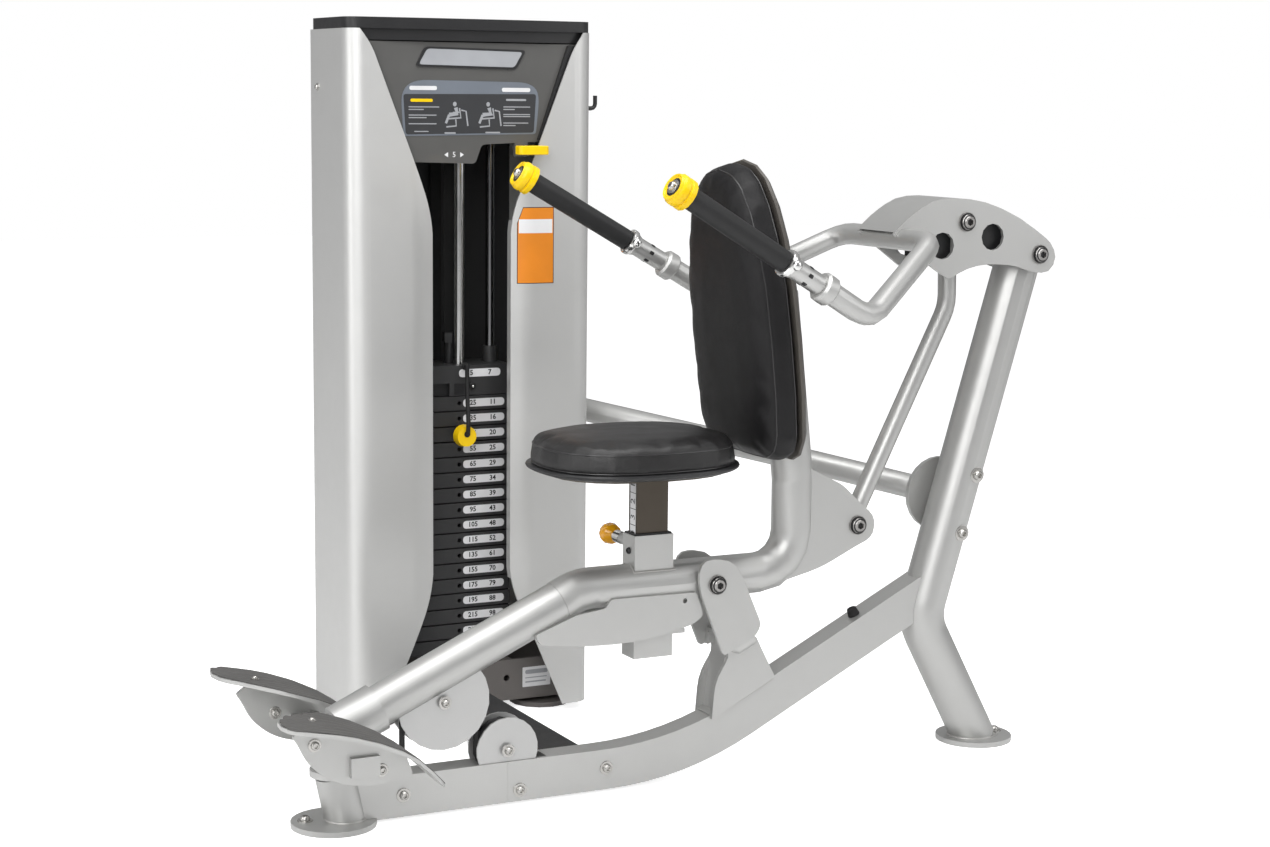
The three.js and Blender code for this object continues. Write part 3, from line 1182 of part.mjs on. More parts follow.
// A point along a grip's axis, from its collar towards its cap
function gripPoint(s, along) {
  const root = new THREE.Vector3(ARM.x - GRIP.rootBefore, s * GRIP.rootHalf, ARM.z - GRIP.rootDown);
  const tip = new THREE.Vector3(ARM.x - GRIP.tipBefore, s * GRIP.tipHalf, ARM.z + GRIP.tipRise);
  return root.addScaledVector(tip.sub(root).normalize(), along).toArray();
}

function handleForm(grow) {
  const h = HANDLE;
  const elbow = (s) => [ARM.x - h.elbowBefore, s * h.elbowHalf, ARM.z - h.elbowDown];
  const cross = (s) => [ARM.x - h.crossBefore, s * h.crossHalf, ARM.z + h.crossRise];
  const route = [gripPoint(-1, 0), elbow(-1), cross(-1), cross(1), elbow(1), gripPoint(1, 0)];
  return solid(tube(route, h.radius + grow, 0, h.bendRadius, 5, 3));
}

function armBox() {
  const box = ARM_BOX;
  const coverShare = 0.43;
  const frontShare = 0.43;
  const sideShares = [
    [-1, 0.398, 0.018],
    [-0.909, 0.655, 0.059],
    [-0.745, 0.965, 0.1],
    [-0.581, 1, 0.176],
    [-0.387, 0.929, 0.176],
    [-0.147, 0.655, 0.176],
    [0.076, 0.212, 0.088],
    [0.123, -0.053, 0.076],
    [0.07, -0.336, 0.065],
    [-0.059, -0.301, 0.059],
    [-0.158, -0.186, 0.176],
    [-0.346, -0.133, 0.176],
    [-0.499, -0.204, 0.117],
    [-0.619, -0.381, 0.018],
    [-0.713, -0.221, 0.023],
  ];
  const side = fromShares(ARM.x, ARM.z, box.length, box.height, sideShares);
  const coverLow = ARM.z + coverShare * box.height;
  const under = side.map(([x, z, r]) => [x, z > coverLow ? z - ARM_BOX.cover : z, r]);
  const skin = plateY(side, -ARM_BOX.outer, ARM_BOX.outer, 2);
  const hollow = plateY(under, -armInner, armInner, 2);
  const left = ARM.x - box.length - OVER;
  const right = ARM.x + box.length;
  const open = block(left, right, -armInner, armInner, ARM.z - box.height, coverLow);
  const rear = block(ARM.x - box.length * frontShare, right, -armInner, armInner, ARM.z - box.height, ARM.z + box.height * 2);
  const lighteningShares = [
    [-0.669, 0.186],
    [-0.331, 0.319],
  ];
  const holes = fromShares(ARM.x, ARM.z, box.length, box.height, lighteningShares);
  const reach = ARM_BOX.outer + OVER;
  const rounds = holes.map(([x, z]) => pinY(x, z, -reach, reach, box.lightening, 12));
  const bores = [ARM, LINK_TOP].map((p) => pinY(p.x, p.z, -reach, reach, BORE_R));
  place('arm_box', largest(cut(skin, hollow, open, rear, handleForm(GAP), ...rounds, ...bores)), SILVER);
}

function handles() {
  const h = BARREL;
  const collar = (s) => {
    const lip = h.collar * 0.7;
    const neck = h.collarR * 0.86;
    const profile = [
      [0, -h.collar],
      [neck, -h.collar],
      [h.collarR, -lip],
      [h.collarR, lip],
      [neck, h.collar],
      [0, h.collar],
    ];
    return turned(gripPoint(s, 0), gripPoint(s, h.grip), profile, 14);
  };
  place('handle_tube', join(handleForm(0), collar(-1), collar(1)), SILVER);

  const start = h.collar + GAP;
  const sleeveEnd = start + h.sleeve;
  const ringEnd = sleeveEnd + h.ring;
  const gripStart = ringEnd + GAP;
  const gripEnd = gripStart + h.grip;
  const capStart = gripEnd + GAP;
  const capEnd = capStart + h.cap;
  const coreEnd = capStart + h.cap / 2;
  const bore = h.coreR + GAP;
  const sleeve = [
    [0, start],
    [h.sleeveR, start],
    [h.sleeveR, sleeveEnd - h.ring],
    [h.ringR, sleeveEnd],
    [h.ringR, ringEnd],
    [h.coreR, ringEnd],
    [h.coreR, coreEnd],
    [0, coreEnd],
  ];
  const foam = [
    [bore, gripStart],
    [h.gripR - h.edge, gripStart],
    [h.gripR, gripStart + h.edge],
    [h.gripR, gripEnd - h.edge],
    [h.gripR - h.edge, gripEnd],
    [bore, gripEnd],
    [bore, gripStart],
  ];
  const capShares = [
    [1, 0],
    [1, 0.3],
    [0.9, 0.36],
    [0.9, 0.44],
    [1, 0.5],
    [1, 0.8],
    [0.86, 1],
  ];
  const cap = [
    [0, coreEnd + GAP],
    [bore, coreEnd + GAP],
    [bore, capStart],
    ...capShares.map(([r, along]) => [r * h.capR, capStart + along * h.cap]),
    [0, capEnd],
  ];
  both.forEach((s) => {
    const side = s < 0 ? 'near' : 'far';
    const form = (profile) => turned(gripPoint(s, 0), gripPoint(s, h.grip), profile, 14);
    place(`handle_sleeve_${side}`, form(sleeve), SILVER);
    place(`grip_${side}`, form(foam), RUBBER);
    place(`grip_cap_${side}`, form(cap), YELLOW);
  });
}

// Link between the press arm and the carriage; its lower eye runs free around its bolt
const LINK = { radius: 18, bendRadius: 90, kneeAfter: 4, kneeDown: 167, topEye: 22, endEye: 25, endSlack: 2.8 };

function linkRod() {
  const l = LINK;
  const route = [
    [LINK_TOP.x, 0, LINK_TOP.z],
    [LINK_TOP.x + l.kneeAfter, 0, LINK_TOP.z - l.kneeDown],
    [LINK_END.x, 0, LINK_END.z],
  ];
  const topHalf = armInner - GAP * 2;
  const endHalf = GUSSET.inner - GAP * 2;
  const body = join(
    tube(route, l.radius, 0, l.bendRadius, 6, 3),
    pinY(LINK_TOP.x, LINK_TOP.z, -topHalf, topHalf, l.topEye, 18),
    pinY(LINK_END.x, LINK_END.z, -endHalf, endHalf, l.endEye, 18),
  );
  const topBore = pinY(LINK_TOP.x, LINK_TOP.z, -armInner, armInner, BORE_R);
  const endBore = pinY(LINK_END.x, LINK_END.z, -GUSSET.inner, GUSSET.inner, BOLT_R + l.endSlack);
  place('link_rod', cut(body, topBore, endBore), SILVER);
}

// Brace between the tower and the upright
const BRACE = { radius: 25, wall: 3, bendRadius: 200, flange: 74, flangeThick: 10, endRise: 238, drop: 8, towerZ: 628, columnIn: 26, swing: 190, sway: 262, sag: 48 };

function braceRoute() {
  const b = BRACE;
  const endX = KNEE.x + uprightLean * b.endRise;
  const endZ = KNEE.z + b.endRise;
  return [
    [TOWER.x + wallIn - OVER, COLUMN.front + b.columnIn, b.towerZ],
    [endX - b.swing, b.sway, endZ + b.sag],
    [endX, UPRIGHT.radius + b.drop, endZ],
  ];
}

function brace() {
  const b = BRACE;
  const route = braceRoute();
  const [endX, , endZ] = route[2];
  const face = UPRIGHT.radius + GAP;
  const bar = tube(route, b.radius, b.wall, b.bendRadius, 6, 4);
  const flange = pinY(endX, endZ, face, face + b.flangeThick, b.flange, 24);
  const inTower = block(TOWER.x, TOWER.x + wallIn + GAP, COLUMN.front - b.flange, TOWER.back, b.towerZ - b.flange, b.towerZ + b.flange);
  const nearSide = block(endX - b.flange * 2, endX + b.flange * 2, -b.flange, face, endZ - b.flange * 2, endZ + b.flange * 2);
  place('brace_tube', cut(join(bar, flange), inTower, nearSide), SILVER);
}

const BUMPER = { afterRock: 333, radius: 12, tip: 9.6, height: 14 };

function railBumper() {
  const x = ROCK.x + BUMPER.afterRock;
  const z = slantTop(x);
  const off = (d) => [x - Math.sin(slant) * d, 0, z + Math.cos(slant) * d];
  place('rail_bumper', rod(off(GAP), off(BUMPER.height), BUMPER.radius, 16, BUMPER.tip), RUBBER);
}

frontFoot();
rails();
rearUpright();
pivotBracket();
crossBeam();
towerBase();
towerFrame();
covers();
topCap();
headerBoard();
towelHook();
weightStack();
lanyard();
drive();
guards();
brace();
railBumper();
carriageFrame();
frontTube();
footrests();
seat();
pullPin();
backrest();
armBox();
handles();
linkRod();
pivotBolt('arm_pivot_bolt', ARM, ARM_BOX.outer);
pivotBolt('link_bolt_upper', LINK_TOP, ARM_BOX.outer);
pivotBolt('link_bolt_lower', LINK_END, GUSSET.inner + PLATE);
pivotBolt('rock_pivot_bolt', ROCK, BRACKET.high + PLATE);

export default group;
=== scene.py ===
# %% [markdown]
# # A seated dip machine
# A sitter pushes two handles down, and the seat rocks up while a belt lifts weights in the tower.
# The solids come in as a fixed frame. This script gives them their finishes and adds what is
# sewn, printed, screwed or welded onto them.

# %% Load the frame
import json
import math

import bmesh
import bpy
import numpy as np
from mathutils import Matrix, Vector


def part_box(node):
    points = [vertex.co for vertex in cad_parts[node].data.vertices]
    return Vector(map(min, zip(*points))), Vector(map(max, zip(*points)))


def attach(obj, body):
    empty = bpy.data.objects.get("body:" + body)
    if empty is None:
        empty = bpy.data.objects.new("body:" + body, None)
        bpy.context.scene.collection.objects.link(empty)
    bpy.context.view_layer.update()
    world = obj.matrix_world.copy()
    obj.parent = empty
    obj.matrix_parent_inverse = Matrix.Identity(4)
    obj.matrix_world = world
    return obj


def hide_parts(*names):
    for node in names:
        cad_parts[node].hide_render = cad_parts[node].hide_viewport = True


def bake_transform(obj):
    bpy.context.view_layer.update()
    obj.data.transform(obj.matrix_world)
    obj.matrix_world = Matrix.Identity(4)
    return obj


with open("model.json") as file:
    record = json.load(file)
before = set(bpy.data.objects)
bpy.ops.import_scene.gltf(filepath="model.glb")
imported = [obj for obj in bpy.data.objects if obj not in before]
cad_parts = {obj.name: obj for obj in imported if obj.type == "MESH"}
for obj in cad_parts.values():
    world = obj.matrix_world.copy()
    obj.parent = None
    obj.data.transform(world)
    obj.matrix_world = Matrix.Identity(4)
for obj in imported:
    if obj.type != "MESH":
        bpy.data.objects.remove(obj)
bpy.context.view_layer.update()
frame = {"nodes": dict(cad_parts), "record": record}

scene = bpy.context.scene
nodes = frame["nodes"]
MM = 0.001

# %% [markdown]
# ## Camera
# A picture fixes where the camera stood. Four numbers are enough for its aim: a turn from the Y
# axis, a tilt down, a small roll, and the focal length in pixels of a 1270 pixel wide picture.

# %% Camera
PICTURE_WIDTH = 1270
FOCAL_PIXELS = 2363.9
yaw, tilt, roll = math.radians(26.809), math.radians(8.008), math.radians(-0.591)
look = Vector((math.sin(yaw) * math.cos(tilt), math.cos(yaw) * math.cos(tilt), -math.sin(tilt)))
level = Vector((math.cos(yaw), -math.sin(yaw), 0))
down = look.cross(level)
right = level * math.cos(roll) + down * math.sin(roll)
up = level * math.sin(roll) - down * math.cos(roll)

camera_data = bpy.data.cameras.new("camera")
camera_data.sensor_width = 36
camera_data.lens = FOCAL_PIXELS / PICTURE_WIDTH * camera_data.sensor_width
camera_data.clip_end = 60
camera = bpy.data.objects.new("camera", camera_data)
camera.matrix_world = Matrix((
    (right.x, up.x, -look.x, -1.35168),
    (right.y, up.y, -look.y, -3.83876),
    (right.z, up.z, -look.z, 1.28946),
    (0, 0, 0, 1),
))
scene.collection.objects.link(camera)
scene.camera = camera
print("lens", round(camera_data.lens, 1), "mm")

# %% [markdown]
# ## Shader expressions
# Node trees are hard to read as lists of links. A small class wraps a socket, so that a mask is
# written as arithmetic and each operator adds its own Math node. The world uses it too.


# %% Shader expressions
class Value:
    """One output socket of a node tree; arithmetic on it adds Math nodes."""

    def __init__(self, owner, socket):
        self.owner, self.socket = owner, socket

    def _math(self, operation, other):
        return self.owner.node("Math", {"operation": operation}, self, other)

    def __add__(self, other):
        return self._math("ADD", other)

    def __sub__(self, other):
        return self._math("SUBTRACT", other)

    def __mul__(self, other):
        return self._math("MULTIPLY", other)

    def clamp(self):
        return self.owner.node("Clamp", {}, self)


class Tree:
    """A node tree with a method that adds any node to it."""

    def __init__(self, tree):
        self.tree = tree

    def node(self, kind, settings, *inputs, out=0, **named):
        made = self.tree.nodes.new("ShaderNode" + kind)
        for key, value in settings.items():
            setattr(made, key, value)
        for key, value in [*enumerate(inputs), *named.items()]:
            self.feed(made.inputs[key], value)
        return Value(self, made.outputs[out])

    def feed(self, socket, value):
        if isinstance(value, Value):
            self.tree.links.new(value.socket, socket)
        else:
            socket.default_value = value

    def is_ray(self, kind):
        """1 where light is traced for a ray of this kind, otherwise 0."""
        return self.node("LightPath", {}, out=f"Is {kind} Ray")


class Shader(Tree):
    """A material with one Principled shader."""

    def __init__(self, name, color, roughness, metallic=0.0, **sockets):
        self.material = bpy.data.materials.new(name)
        self.material.use_nodes = True
        super().__init__(self.material.node_tree)
        self.surface = self.tree.nodes["Principled BSDF"]
        self.set("Base Color", (*color, 1))
        self.set("Roughness", roughness)
        self.set("Metallic", metallic)
        for socket, value in sockets.items():
            self.set(socket.replace("_", " "), value)
        self.material.diffuse_color = (*color, 1)

    def set(self, name, value):
        self.feed(self.surface.inputs[name], value)

    def place(self):
        return self.node("NewGeometry", {})

    def noise(self, scale, detail):
        return self.node("TexNoise", {}, Vector=self.place(), Scale=scale, Detail=detail)

    def mix(self, factor, low, high):
        made = self.tree.nodes.new("ShaderNodeMix")
        made.data_type = "RGBA"
        self.feed(made.inputs["Factor"], factor)
        self.feed(made.inputs[6], low)
        self.feed(made.inputs[7], high)
        return Value(self, made.outputs[2])

    def bump(self, height, strength, distance):
        self.set("Normal", self.node("Bump", {}, Strength=strength, Distance=distance, Height=height))


def shade(color, factor):
    return (*[min(c * factor, 1) for c in color], 1)


# %% [markdown]
# ## Finishes
# The frame is powder coated in metallic silver: fine flakes, a faint orange-peel skin, and a
# broad soft gloss. Every other finish follows the same pattern of colour variation, roughness
# variation and relief at its own scale.


# %% Painted and plated metal
def powder_coat(name, color, roughness, metallic, peel=0.25, flake=0.10):
    coat = Shader(name, color, roughness, metallic)
    fine = coat.noise(1800, 1)
    broad = coat.noise(6, 3)
    tone = (fine - 0.5) * flake + (broad - 0.5) * 0.12 + 0.5
    coat.set("Base Color", coat.mix(tone.clamp(), shade(color, 0.80), shade(color, 1.20)))
    coat.set("Roughness", (coat.noise(40, 3) - 0.5) * 0.12 + roughness)
    coat.bump(coat.noise(420, 2), peel, 0.0004)
    return coat.material


def plated(name, color, roughness, brushed=0.0):
    metal = Shader(name, color, roughness, 1.0)
    smear = metal.noise(25, 4)
    metal.set("Base Color", metal.mix(smear, shade(color, 0.88), shade(color, 1.08)))
    metal.set("Roughness", (smear - 0.5) * 0.16 + roughness)
    if brushed:
        metal.bump(metal.noise(900, 2), brushed, 0.0003)
    return metal.material


base_paint = powder_coat("tower base paint", (0.150, 0.139, 0.132), 0.50, 0.3, peel=0.4)
silver = powder_coat("silver powder coat", (0.51, 0.51, 0.50), 0.42, 0.78)
cover_silver = powder_coat("cover paint", (0.62, 0.62, 0.61), 0.44, 0.66, peel=0.12, flake=0.05)
guard_silver = powder_coat("guard paint", (0.52, 0.52, 0.515), 0.44, 0.70)
dark_steel = powder_coat("dark textured paint", (0.030, 0.030, 0.031), 0.58, 0.2, peel=0.6)
black_steel = powder_coat("black plate paint", (0.036, 0.036, 0.037), 0.46, 0.2, peel=0.5)
chrome = plated("chrome", (0.74, 0.74, 0.73), 0.13)
post_plate = plated("post plating", (0.095, 0.082, 0.068), 0.34, brushed=0.3)
pivot_steel = plated("pivot steel", (0.36, 0.35, 0.34), 0.30)
sleeve_metal = plated("sleeve metal", (0.55, 0.55, 0.54), 0.42, brushed=0.25)
# The right guide rod gets a darker copy of chrome: painted shade for the dark surroundings it reflects.
rod_chrome_painted_dark = plated("guide rod chrome painted dark", (0.30, 0.30, 0.31), 0.10)
bolt_steel = plated("bolt steel", (0.50, 0.49, 0.47), 0.26)


# %% [markdown]
# ## Plastic, rubber and vinyl
# Moulded plastic is matt with a spark-eroded texture. The pads wear vinyl: a leather-like grain
# of small rounded cells, soft gloss, and slightly lighter ridges.


# %% Plastic, rubber and vinyl
def moulded(name, color, roughness, grain=900, relief=0.25, gloss=0.0, specular=0.5):
    plastic = Shader(name, color, roughness, Specular_IOR_Level=specular)
    patch = plastic.noise(14, 3)
    plastic.set("Base Color", plastic.mix(patch, shade(color, 0.85), shade(color, 1.18)))
    plastic.set("Roughness", (plastic.noise(60, 2) - 0.5) * 0.15 + roughness)
    plastic.set("Coat Weight", gloss)
    plastic.bump(plastic.noise(grain, 2), relief, 0.0004)
    return plastic.material


def upholstery(name, color, roughness, specular):
    vinyl = Shader(name, color, roughness, Specular_IOR_Level=specular)
    cells = vinyl.node("TexVoronoi", {"feature": "DISTANCE_TO_EDGE"}, Vector=vinyl.place(), Scale=520)
    folds = vinyl.noise(28, 4)
    grain = (cells * 3).clamp()
    vinyl.set("Base Color", vinyl.mix(grain * 0.6 + folds * 0.4, shade(color, 0.75), shade(color, 1.5)))
    vinyl.set("Roughness", (folds - 0.5) * 0.18 + roughness)
    vinyl.bump(grain * 0.6 + folds * 0.9, 0.35, 0.0007)
    return vinyl.material


def foam(name, color):
    grip = Shader(name, color, 0.82)
    pores = grip.noise(1500, 2)
    grip.set("Base Color", grip.mix(pores, shade(color, 0.7), shade(color, 1.5)))
    grip.set("Roughness", grip.noise(50, 2) * 0.12 + 0.48)
    grip.bump(pores, 0.45, 0.0005)
    return grip.material


black_plastic = moulded("black plastic", (0.012, 0.012, 0.013), 0.42)
charcoal = moulded("charcoal plastic", (0.060, 0.059, 0.056), 0.50, relief=0.35)
header_plastic = moulded("header plastic", (0.085, 0.084, 0.081), 0.42, relief=0.4, gloss=0.2)
plaque_plastic = moulded("plaque plastic", (0.020, 0.020, 0.021), 0.30, relief=0.08, gloss=0.3)
tread_rubber = moulded("tread rubber", (0.085, 0.083, 0.080), 0.62, grain=700, relief=0.6)
yellow = moulded("yellow plastic", (0.94, 0.58, 0.003), 0.34, relief=0.12, gloss=0.12, specular=0.3)
amber = moulded("amber knob plastic", (0.88, 0.39, 0.003), 0.24, relief=0.05, gloss=0.6)
shell_plastic = moulded("backrest shell plastic", (0.075, 0.068, 0.060), 0.46)
rubber = moulded("rubber", (0.005, 0.005, 0.005), 0.75, grain=1400, relief=0.4)
grip_foam = foam("grip foam", (0.007, 0.007, 0.0075))
# Seat and back wear one vinyl in two copies: the back's is painted darker with less gloss, and the seat's is
# painted lighter and glossier, as painted shade and painted sheen.
vinyl = upholstery("upholstery vinyl painted darker", (0.0058, 0.0054, 0.0060), 0.45, 0.28)
seat_vinyl_painted_lighter = upholstery("seat vinyl painted lighter", (0.0085, 0.0080, 0.0082), 0.40, 0.55)
label_white = moulded("label white", (0.72, 0.72, 0.73), 0.45, relief=0.05)
panel_blue = moulded("panel blue grey", (0.15, 0.17, 0.20), 0.42, relief=0.05)
panel_dark = moulded("panel dark", (0.032, 0.033, 0.036), 0.42, relief=0.05)
panel_grey = moulded("panel print grey", (0.33, 0.34, 0.36), 0.45, relief=0.05)
label_orange = moulded("plain orange", (0.70, 0.22, 0.012), 0.42, relief=0.05)
# Ink is for print, and it also serves as painted shade: rings and discs on bolts, plates in recesses and
# slots.
ink_and_painted_shade = moulded("ink_and_painted_shade", (0.008, 0.008, 0.009), 0.5, relief=0.05)
weld = powder_coat("weld under paint", (0.42, 0.415, 0.40), 0.42, 0.5, peel=0.9)

# %% [markdown]
# ## Finish each solid
# The solids arrive faceted. Their shading normals are averaged wherever neighbouring faces meet
# at a shallow angle, so tubes look round and plates keep crisp edges. No vertex moves.

# %% Assign finishes and round the shading
finish_of_slot = {
    "silver_paint": silver, "cover_paint": cover_silver, "dark_steel": dark_steel,
    "black_steel": black_steel, "chrome": chrome, "sleeve_metal": sleeve_metal,
    "black_plastic": black_plastic, "grey_plastic": charcoal, "black_rubber": rubber,
    "foam_grip": grip_foam, "yellow_plastic": yellow, "vinyl": vinyl,
}
finish_of_node = {
    "seat_post": post_plate, "header_board": header_plastic, "backrest_shell": shell_plastic,
    "seat_pull_pin": amber, "arm_pivot_bolt": pivot_steel, "link_bolt_upper": pivot_steel,
    "link_bolt_lower": pivot_steel, "rock_pivot_bolt": pivot_steel,
    "guide_rod_right": rod_chrome_painted_dark, "tower_base": base_paint,
    "footrest_near": silver, "footrest_far": silver,
    "rail_pulley_guard": guard_silver, "carriage_pulley_guard": guard_silver,
}


def round_shading(mesh, limit=38):
    """Averages the corner normals of faces that meet at less than the limit, in degrees."""
    mesh.calc_loop_triangles()
    corners = np.empty(len(mesh.loops), np.int64)
    mesh.loops.foreach_get("vertex_index", corners)
    points = np.empty(len(mesh.vertices) * 3)
    mesh.vertices.foreach_get("co", points)
    spots = np.round(points.reshape(-1, 3) * 20000).astype(np.int64)
    _, spot = np.unique(spots, axis=0, return_inverse=True)
    spot = spot.reshape(-1)
    normals = np.array([p.normal for p in mesh.polygons for _ in p.loop_indices])
    areas = np.array([p.area for p in mesh.polygons for _ in p.loop_indices])
    order = {}
    for loop, vertex in enumerate(corners):
        order.setdefault(spot[vertex], []).append(loop)
    out = normals.copy()
    edge = math.cos(math.radians(limit))
    for loops in order.values():
        n, a = normals[loops], areas[loops]
        near = (n @ n.T) > edge
        total = (near * a) @ n
        out[loops] = total / np.maximum(np.linalg.norm(total, axis=1, keepdims=True), 1e-12)
    for polygon in mesh.polygons:
        polygon.use_smooth = True
    mesh.normals_split_custom_set(out.tolist())


for entry in frame["record"]["subparts"]:
    name, slot = entry["node"], entry["material_slot"]
    mesh = nodes[name].data
    mesh.materials.clear()
    mesh.materials.append(finish_of_node.get(name, finish_of_slot[slot]))
    round_shading(mesh)
print("finishes set on", len(nodes), "solids")

# %% [markdown]
# ## Helpers for added pieces
# Every added piece is a mesh placed in the machine's own frame, given a finish and the body it
# moves with. Sizes are in millimetres, as a drawing gives them.


# %% Mesh helpers
TO_VIEWER = (0, -1, 0)
SIDES = ((-1, "near"), (1, "far"))


def circle(steps):
    """Evenly spaced angles all round."""
    return [2 * math.pi * k / steps for k in range(steps)]


def finished_mesh(name, form):
    bmesh.ops.recalc_face_normals(form, faces=form.faces)
    mesh = bpy.data.meshes.new(name)
    form.to_mesh(mesh)
    form.free()
    return mesh


def add_piece(name, form, material, body, smooth=True):
    """Turns a bmesh into a piece of the scene."""
    mesh = finished_mesh(name, form)
    piece = bpy.data.objects.new(name, mesh)
    scene.collection.objects.link(piece)
    mesh.materials.append(material)
    if smooth:
        round_shading(mesh)
    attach(piece, body)


def frame_at(place, axis):
    """A matrix whose Z runs along the axis from a place given in millimetres."""
    turn = Vector(axis).to_track_quat("Z", "Y").to_matrix().to_4x4()
    return Matrix.Translation(Vector(place) * MM) @ turn


def lathe(form, profile, place, axis, sides=32):
    """Adds a closed turned form to a bmesh; the profile is (radius, height) in millimetres."""
    matrix = frame_at(place, axis)
    rings = []
    for radius, height in profile:
        spots = [(radius * MM * math.cos(t), radius * MM * math.sin(t), height * MM) for t in circle(sides)]
        if radius < 1e-6:
            spots = [(0, 0, height * MM)]
        rings.append([form.verts.new(matrix @ Vector(spot)) for spot in spots])
    for low, high in zip(rings, rings[1:]):
        for k in range(sides):
            n = (k + 1) % sides
            face = [low[k % len(low)], low[n % len(low)], high[n % len(high)], high[k % len(high)]]
            unique = list(dict.fromkeys(face))
            if len(unique) > 2:
                form.faces.new(unique)


def turned_piece(name, forms, material, body):
    """One piece of turned forms, each a profile, a place, an axis and a number of sides."""
    form = bmesh.new()
    for given in forms:
        lathe(form, *given)
    add_piece(name, form, material, body)


def disc(radius, low, high):
    return [(0, low), (radius, low), (radius, high), (0, high)]


def tube(inner, outer, low, high):
    return [(inner, low), (outer, low), (outer, high), (inner, high), (inner, low)]


def socket_screws(name, places, axis, radius, body, washer=True, slot="chrome", material=bolt_steel):
    """Button-head screws with hexagon sockets on washers, all along one axis."""
    thick = 2.2
    rim = radius * 1.55
    washer_form = [(0, 0), (rim, 0), (rim, 1.6), (rim - 0.8, thick), (0, thick)]
    base = thick if washer else 0.0
    tall = radius * 0.75
    dome = [(0, 0), (1, 0), (1, 0.3), (0.9, 0.7), (0.66, 1), (0.5, 1), (0.46, 0.35), (0, 0.3)]
    head = [(radius * share, base + tall * height) for share, height in dome]
    forms = []
    for place in places:
        if washer:
            forms.append((washer_form, place, axis))
        forms.append((head, place, axis, 24))
    turned_piece(name, forms, material, body)


# %% [markdown]
# ## Outlines, plates and pipes
# Labels, legends and panels are thin plates cut to a rounded outline. Weld beads, seams and cords
# are pipes along a line of points. A few helpers make them all, closed on every side.


# %% Plates and pipes
def on_face(place, right=(1, 0, 0), up=(0, 0, 1)):
    """A matrix from an outline's own plane, in metres, to a face; unless told, one along -Y."""
    x, y = Vector(right).normalized(), Vector(up).normalized()
    turn = Matrix((x, y, x.cross(y))).transposed().to_4x4()
    return Matrix.Translation(Vector(place) * MM) @ turn


def rounded(corners, radius, steps=5):
    """Corner points in millimetres with each corner replaced by a short curve."""
    points = []
    for i, corner in enumerate(corners):
        here = Vector(corner[:2])
        back = Vector(corners[i - 1][:2]) - here
        ahead = Vector(corners[(i + 1) % len(corners)][:2]) - here
        reach = corner[2] if len(corner) > 2 else radius
        start = here + back.normalized() * min(reach, back.length * 0.49)
        end = here + ahead.normalized() * min(reach, ahead.length * 0.49)
        for k in range(steps + 1):
            t = k / steps
            points.append(start * (1 - t) ** 2 + here * 2 * t * (1 - t) + end * t * t)
    return points


def box_outline(x0, x1, y0, y1, radius):
    return rounded([(x0, y0), (x1, y0), (x1, y1), (x0, y1)], radius)


def loft(form, rings, closed=False):
    """Joins rings of points in metres; the end rings are capped, or joined if it is closed."""
    rows = [[form.verts.new(point) for point in ring] for ring in rings]
    first, last = rows[0], rows[-1]
    pairs = list(zip(rows, rows[1:]))
    if closed:
        shift = min(range(len(first)), key=lambda k: (first[k].co - last[0].co).length)
        pairs.append((last, first[shift:] + first[:shift]))
    for low, high in pairs:
        for k in range(len(low)):
            n = (k + 1) % len(low)
            form.faces.new((low[k], low[n], high[n], high[k]))
    if not closed:
        form.faces.new(first[::-1])
        form.faces.new(last)


def card(form, points, matrix, thick=0.4):
    """Adds a flat plate of the given outline, its back on the matrix's plane."""
    loft(form, [[matrix @ Vector((p.x * MM, p.y * MM, z)) for p in points] for z in (0, thick * MM)])


def pipe(form, points, radius, sides=8, closed=False):
    """Adds a round pipe along points in millimetres."""
    path = [Vector(p) * MM for p in points]
    rings = []
    across = None
    for i, here in enumerate(path):
        back = path[i - 1] if closed or i else here
        ahead = path[(i + 1) % len(path)] if closed or i < len(path) - 1 else here
        way = (ahead - back).normalized()
        if across is None:
            across = way.orthogonal().normalized()
        across = (across - way * across.dot(way)).normalized()
        other = way.cross(across)
        rings.append([
            here + (across * math.cos(t) + other * math.sin(t)) * radius * MM for t in circle(sides)
        ])
    loft(form, rings, closed)


def plate_piece(name, outlines, matrix, material, body, thick=0.4):
    form = bmesh.new()
    for points in outlines:
        card(form, points, matrix, thick)
    add_piece(name, form, material, body)


def bars(rows):
    """Rounded bars, each given by its two ends, its height and its thickness."""
    return [box_outline(x0, x1, z - thick / 2, z + thick / 2, thick / 2) for x0, x1, z, thick in rows]


def numerals(name, items, size, material, body, bold=0.0):
    """Plain numbers as thin raised print; each item is a text and its matrix."""
    form = bmesh.new()
    for text, matrix in items:
        curve = bpy.data.curves.new(name, "FONT")
        curve.body, curve.size = text, size * MM
        curve.align_x = curve.align_y = "CENTER"
        curve.extrude, curve.offset, curve.resolution_u = 0.12 * MM, bold * MM, 2
        writing = bpy.data.objects.new(name, curve)
        scene.collection.objects.link(writing)
        bpy.context.view_layer.update()
        mesh = bpy.data.meshes.new_from_object(writing)
        mesh.transform(matrix)
        form.from_mesh(mesh)
        bpy.data.objects.remove(writing)
        bpy.data.curves.remove(curve)
        bpy.data.meshes.remove(mesh)
    add_piece(name, form, material, body, smooth=False)


# %% [markdown]
# ## Screws on the frame
# The rail, the upright and the feet are bolted together. Each visible head sits on its washer.

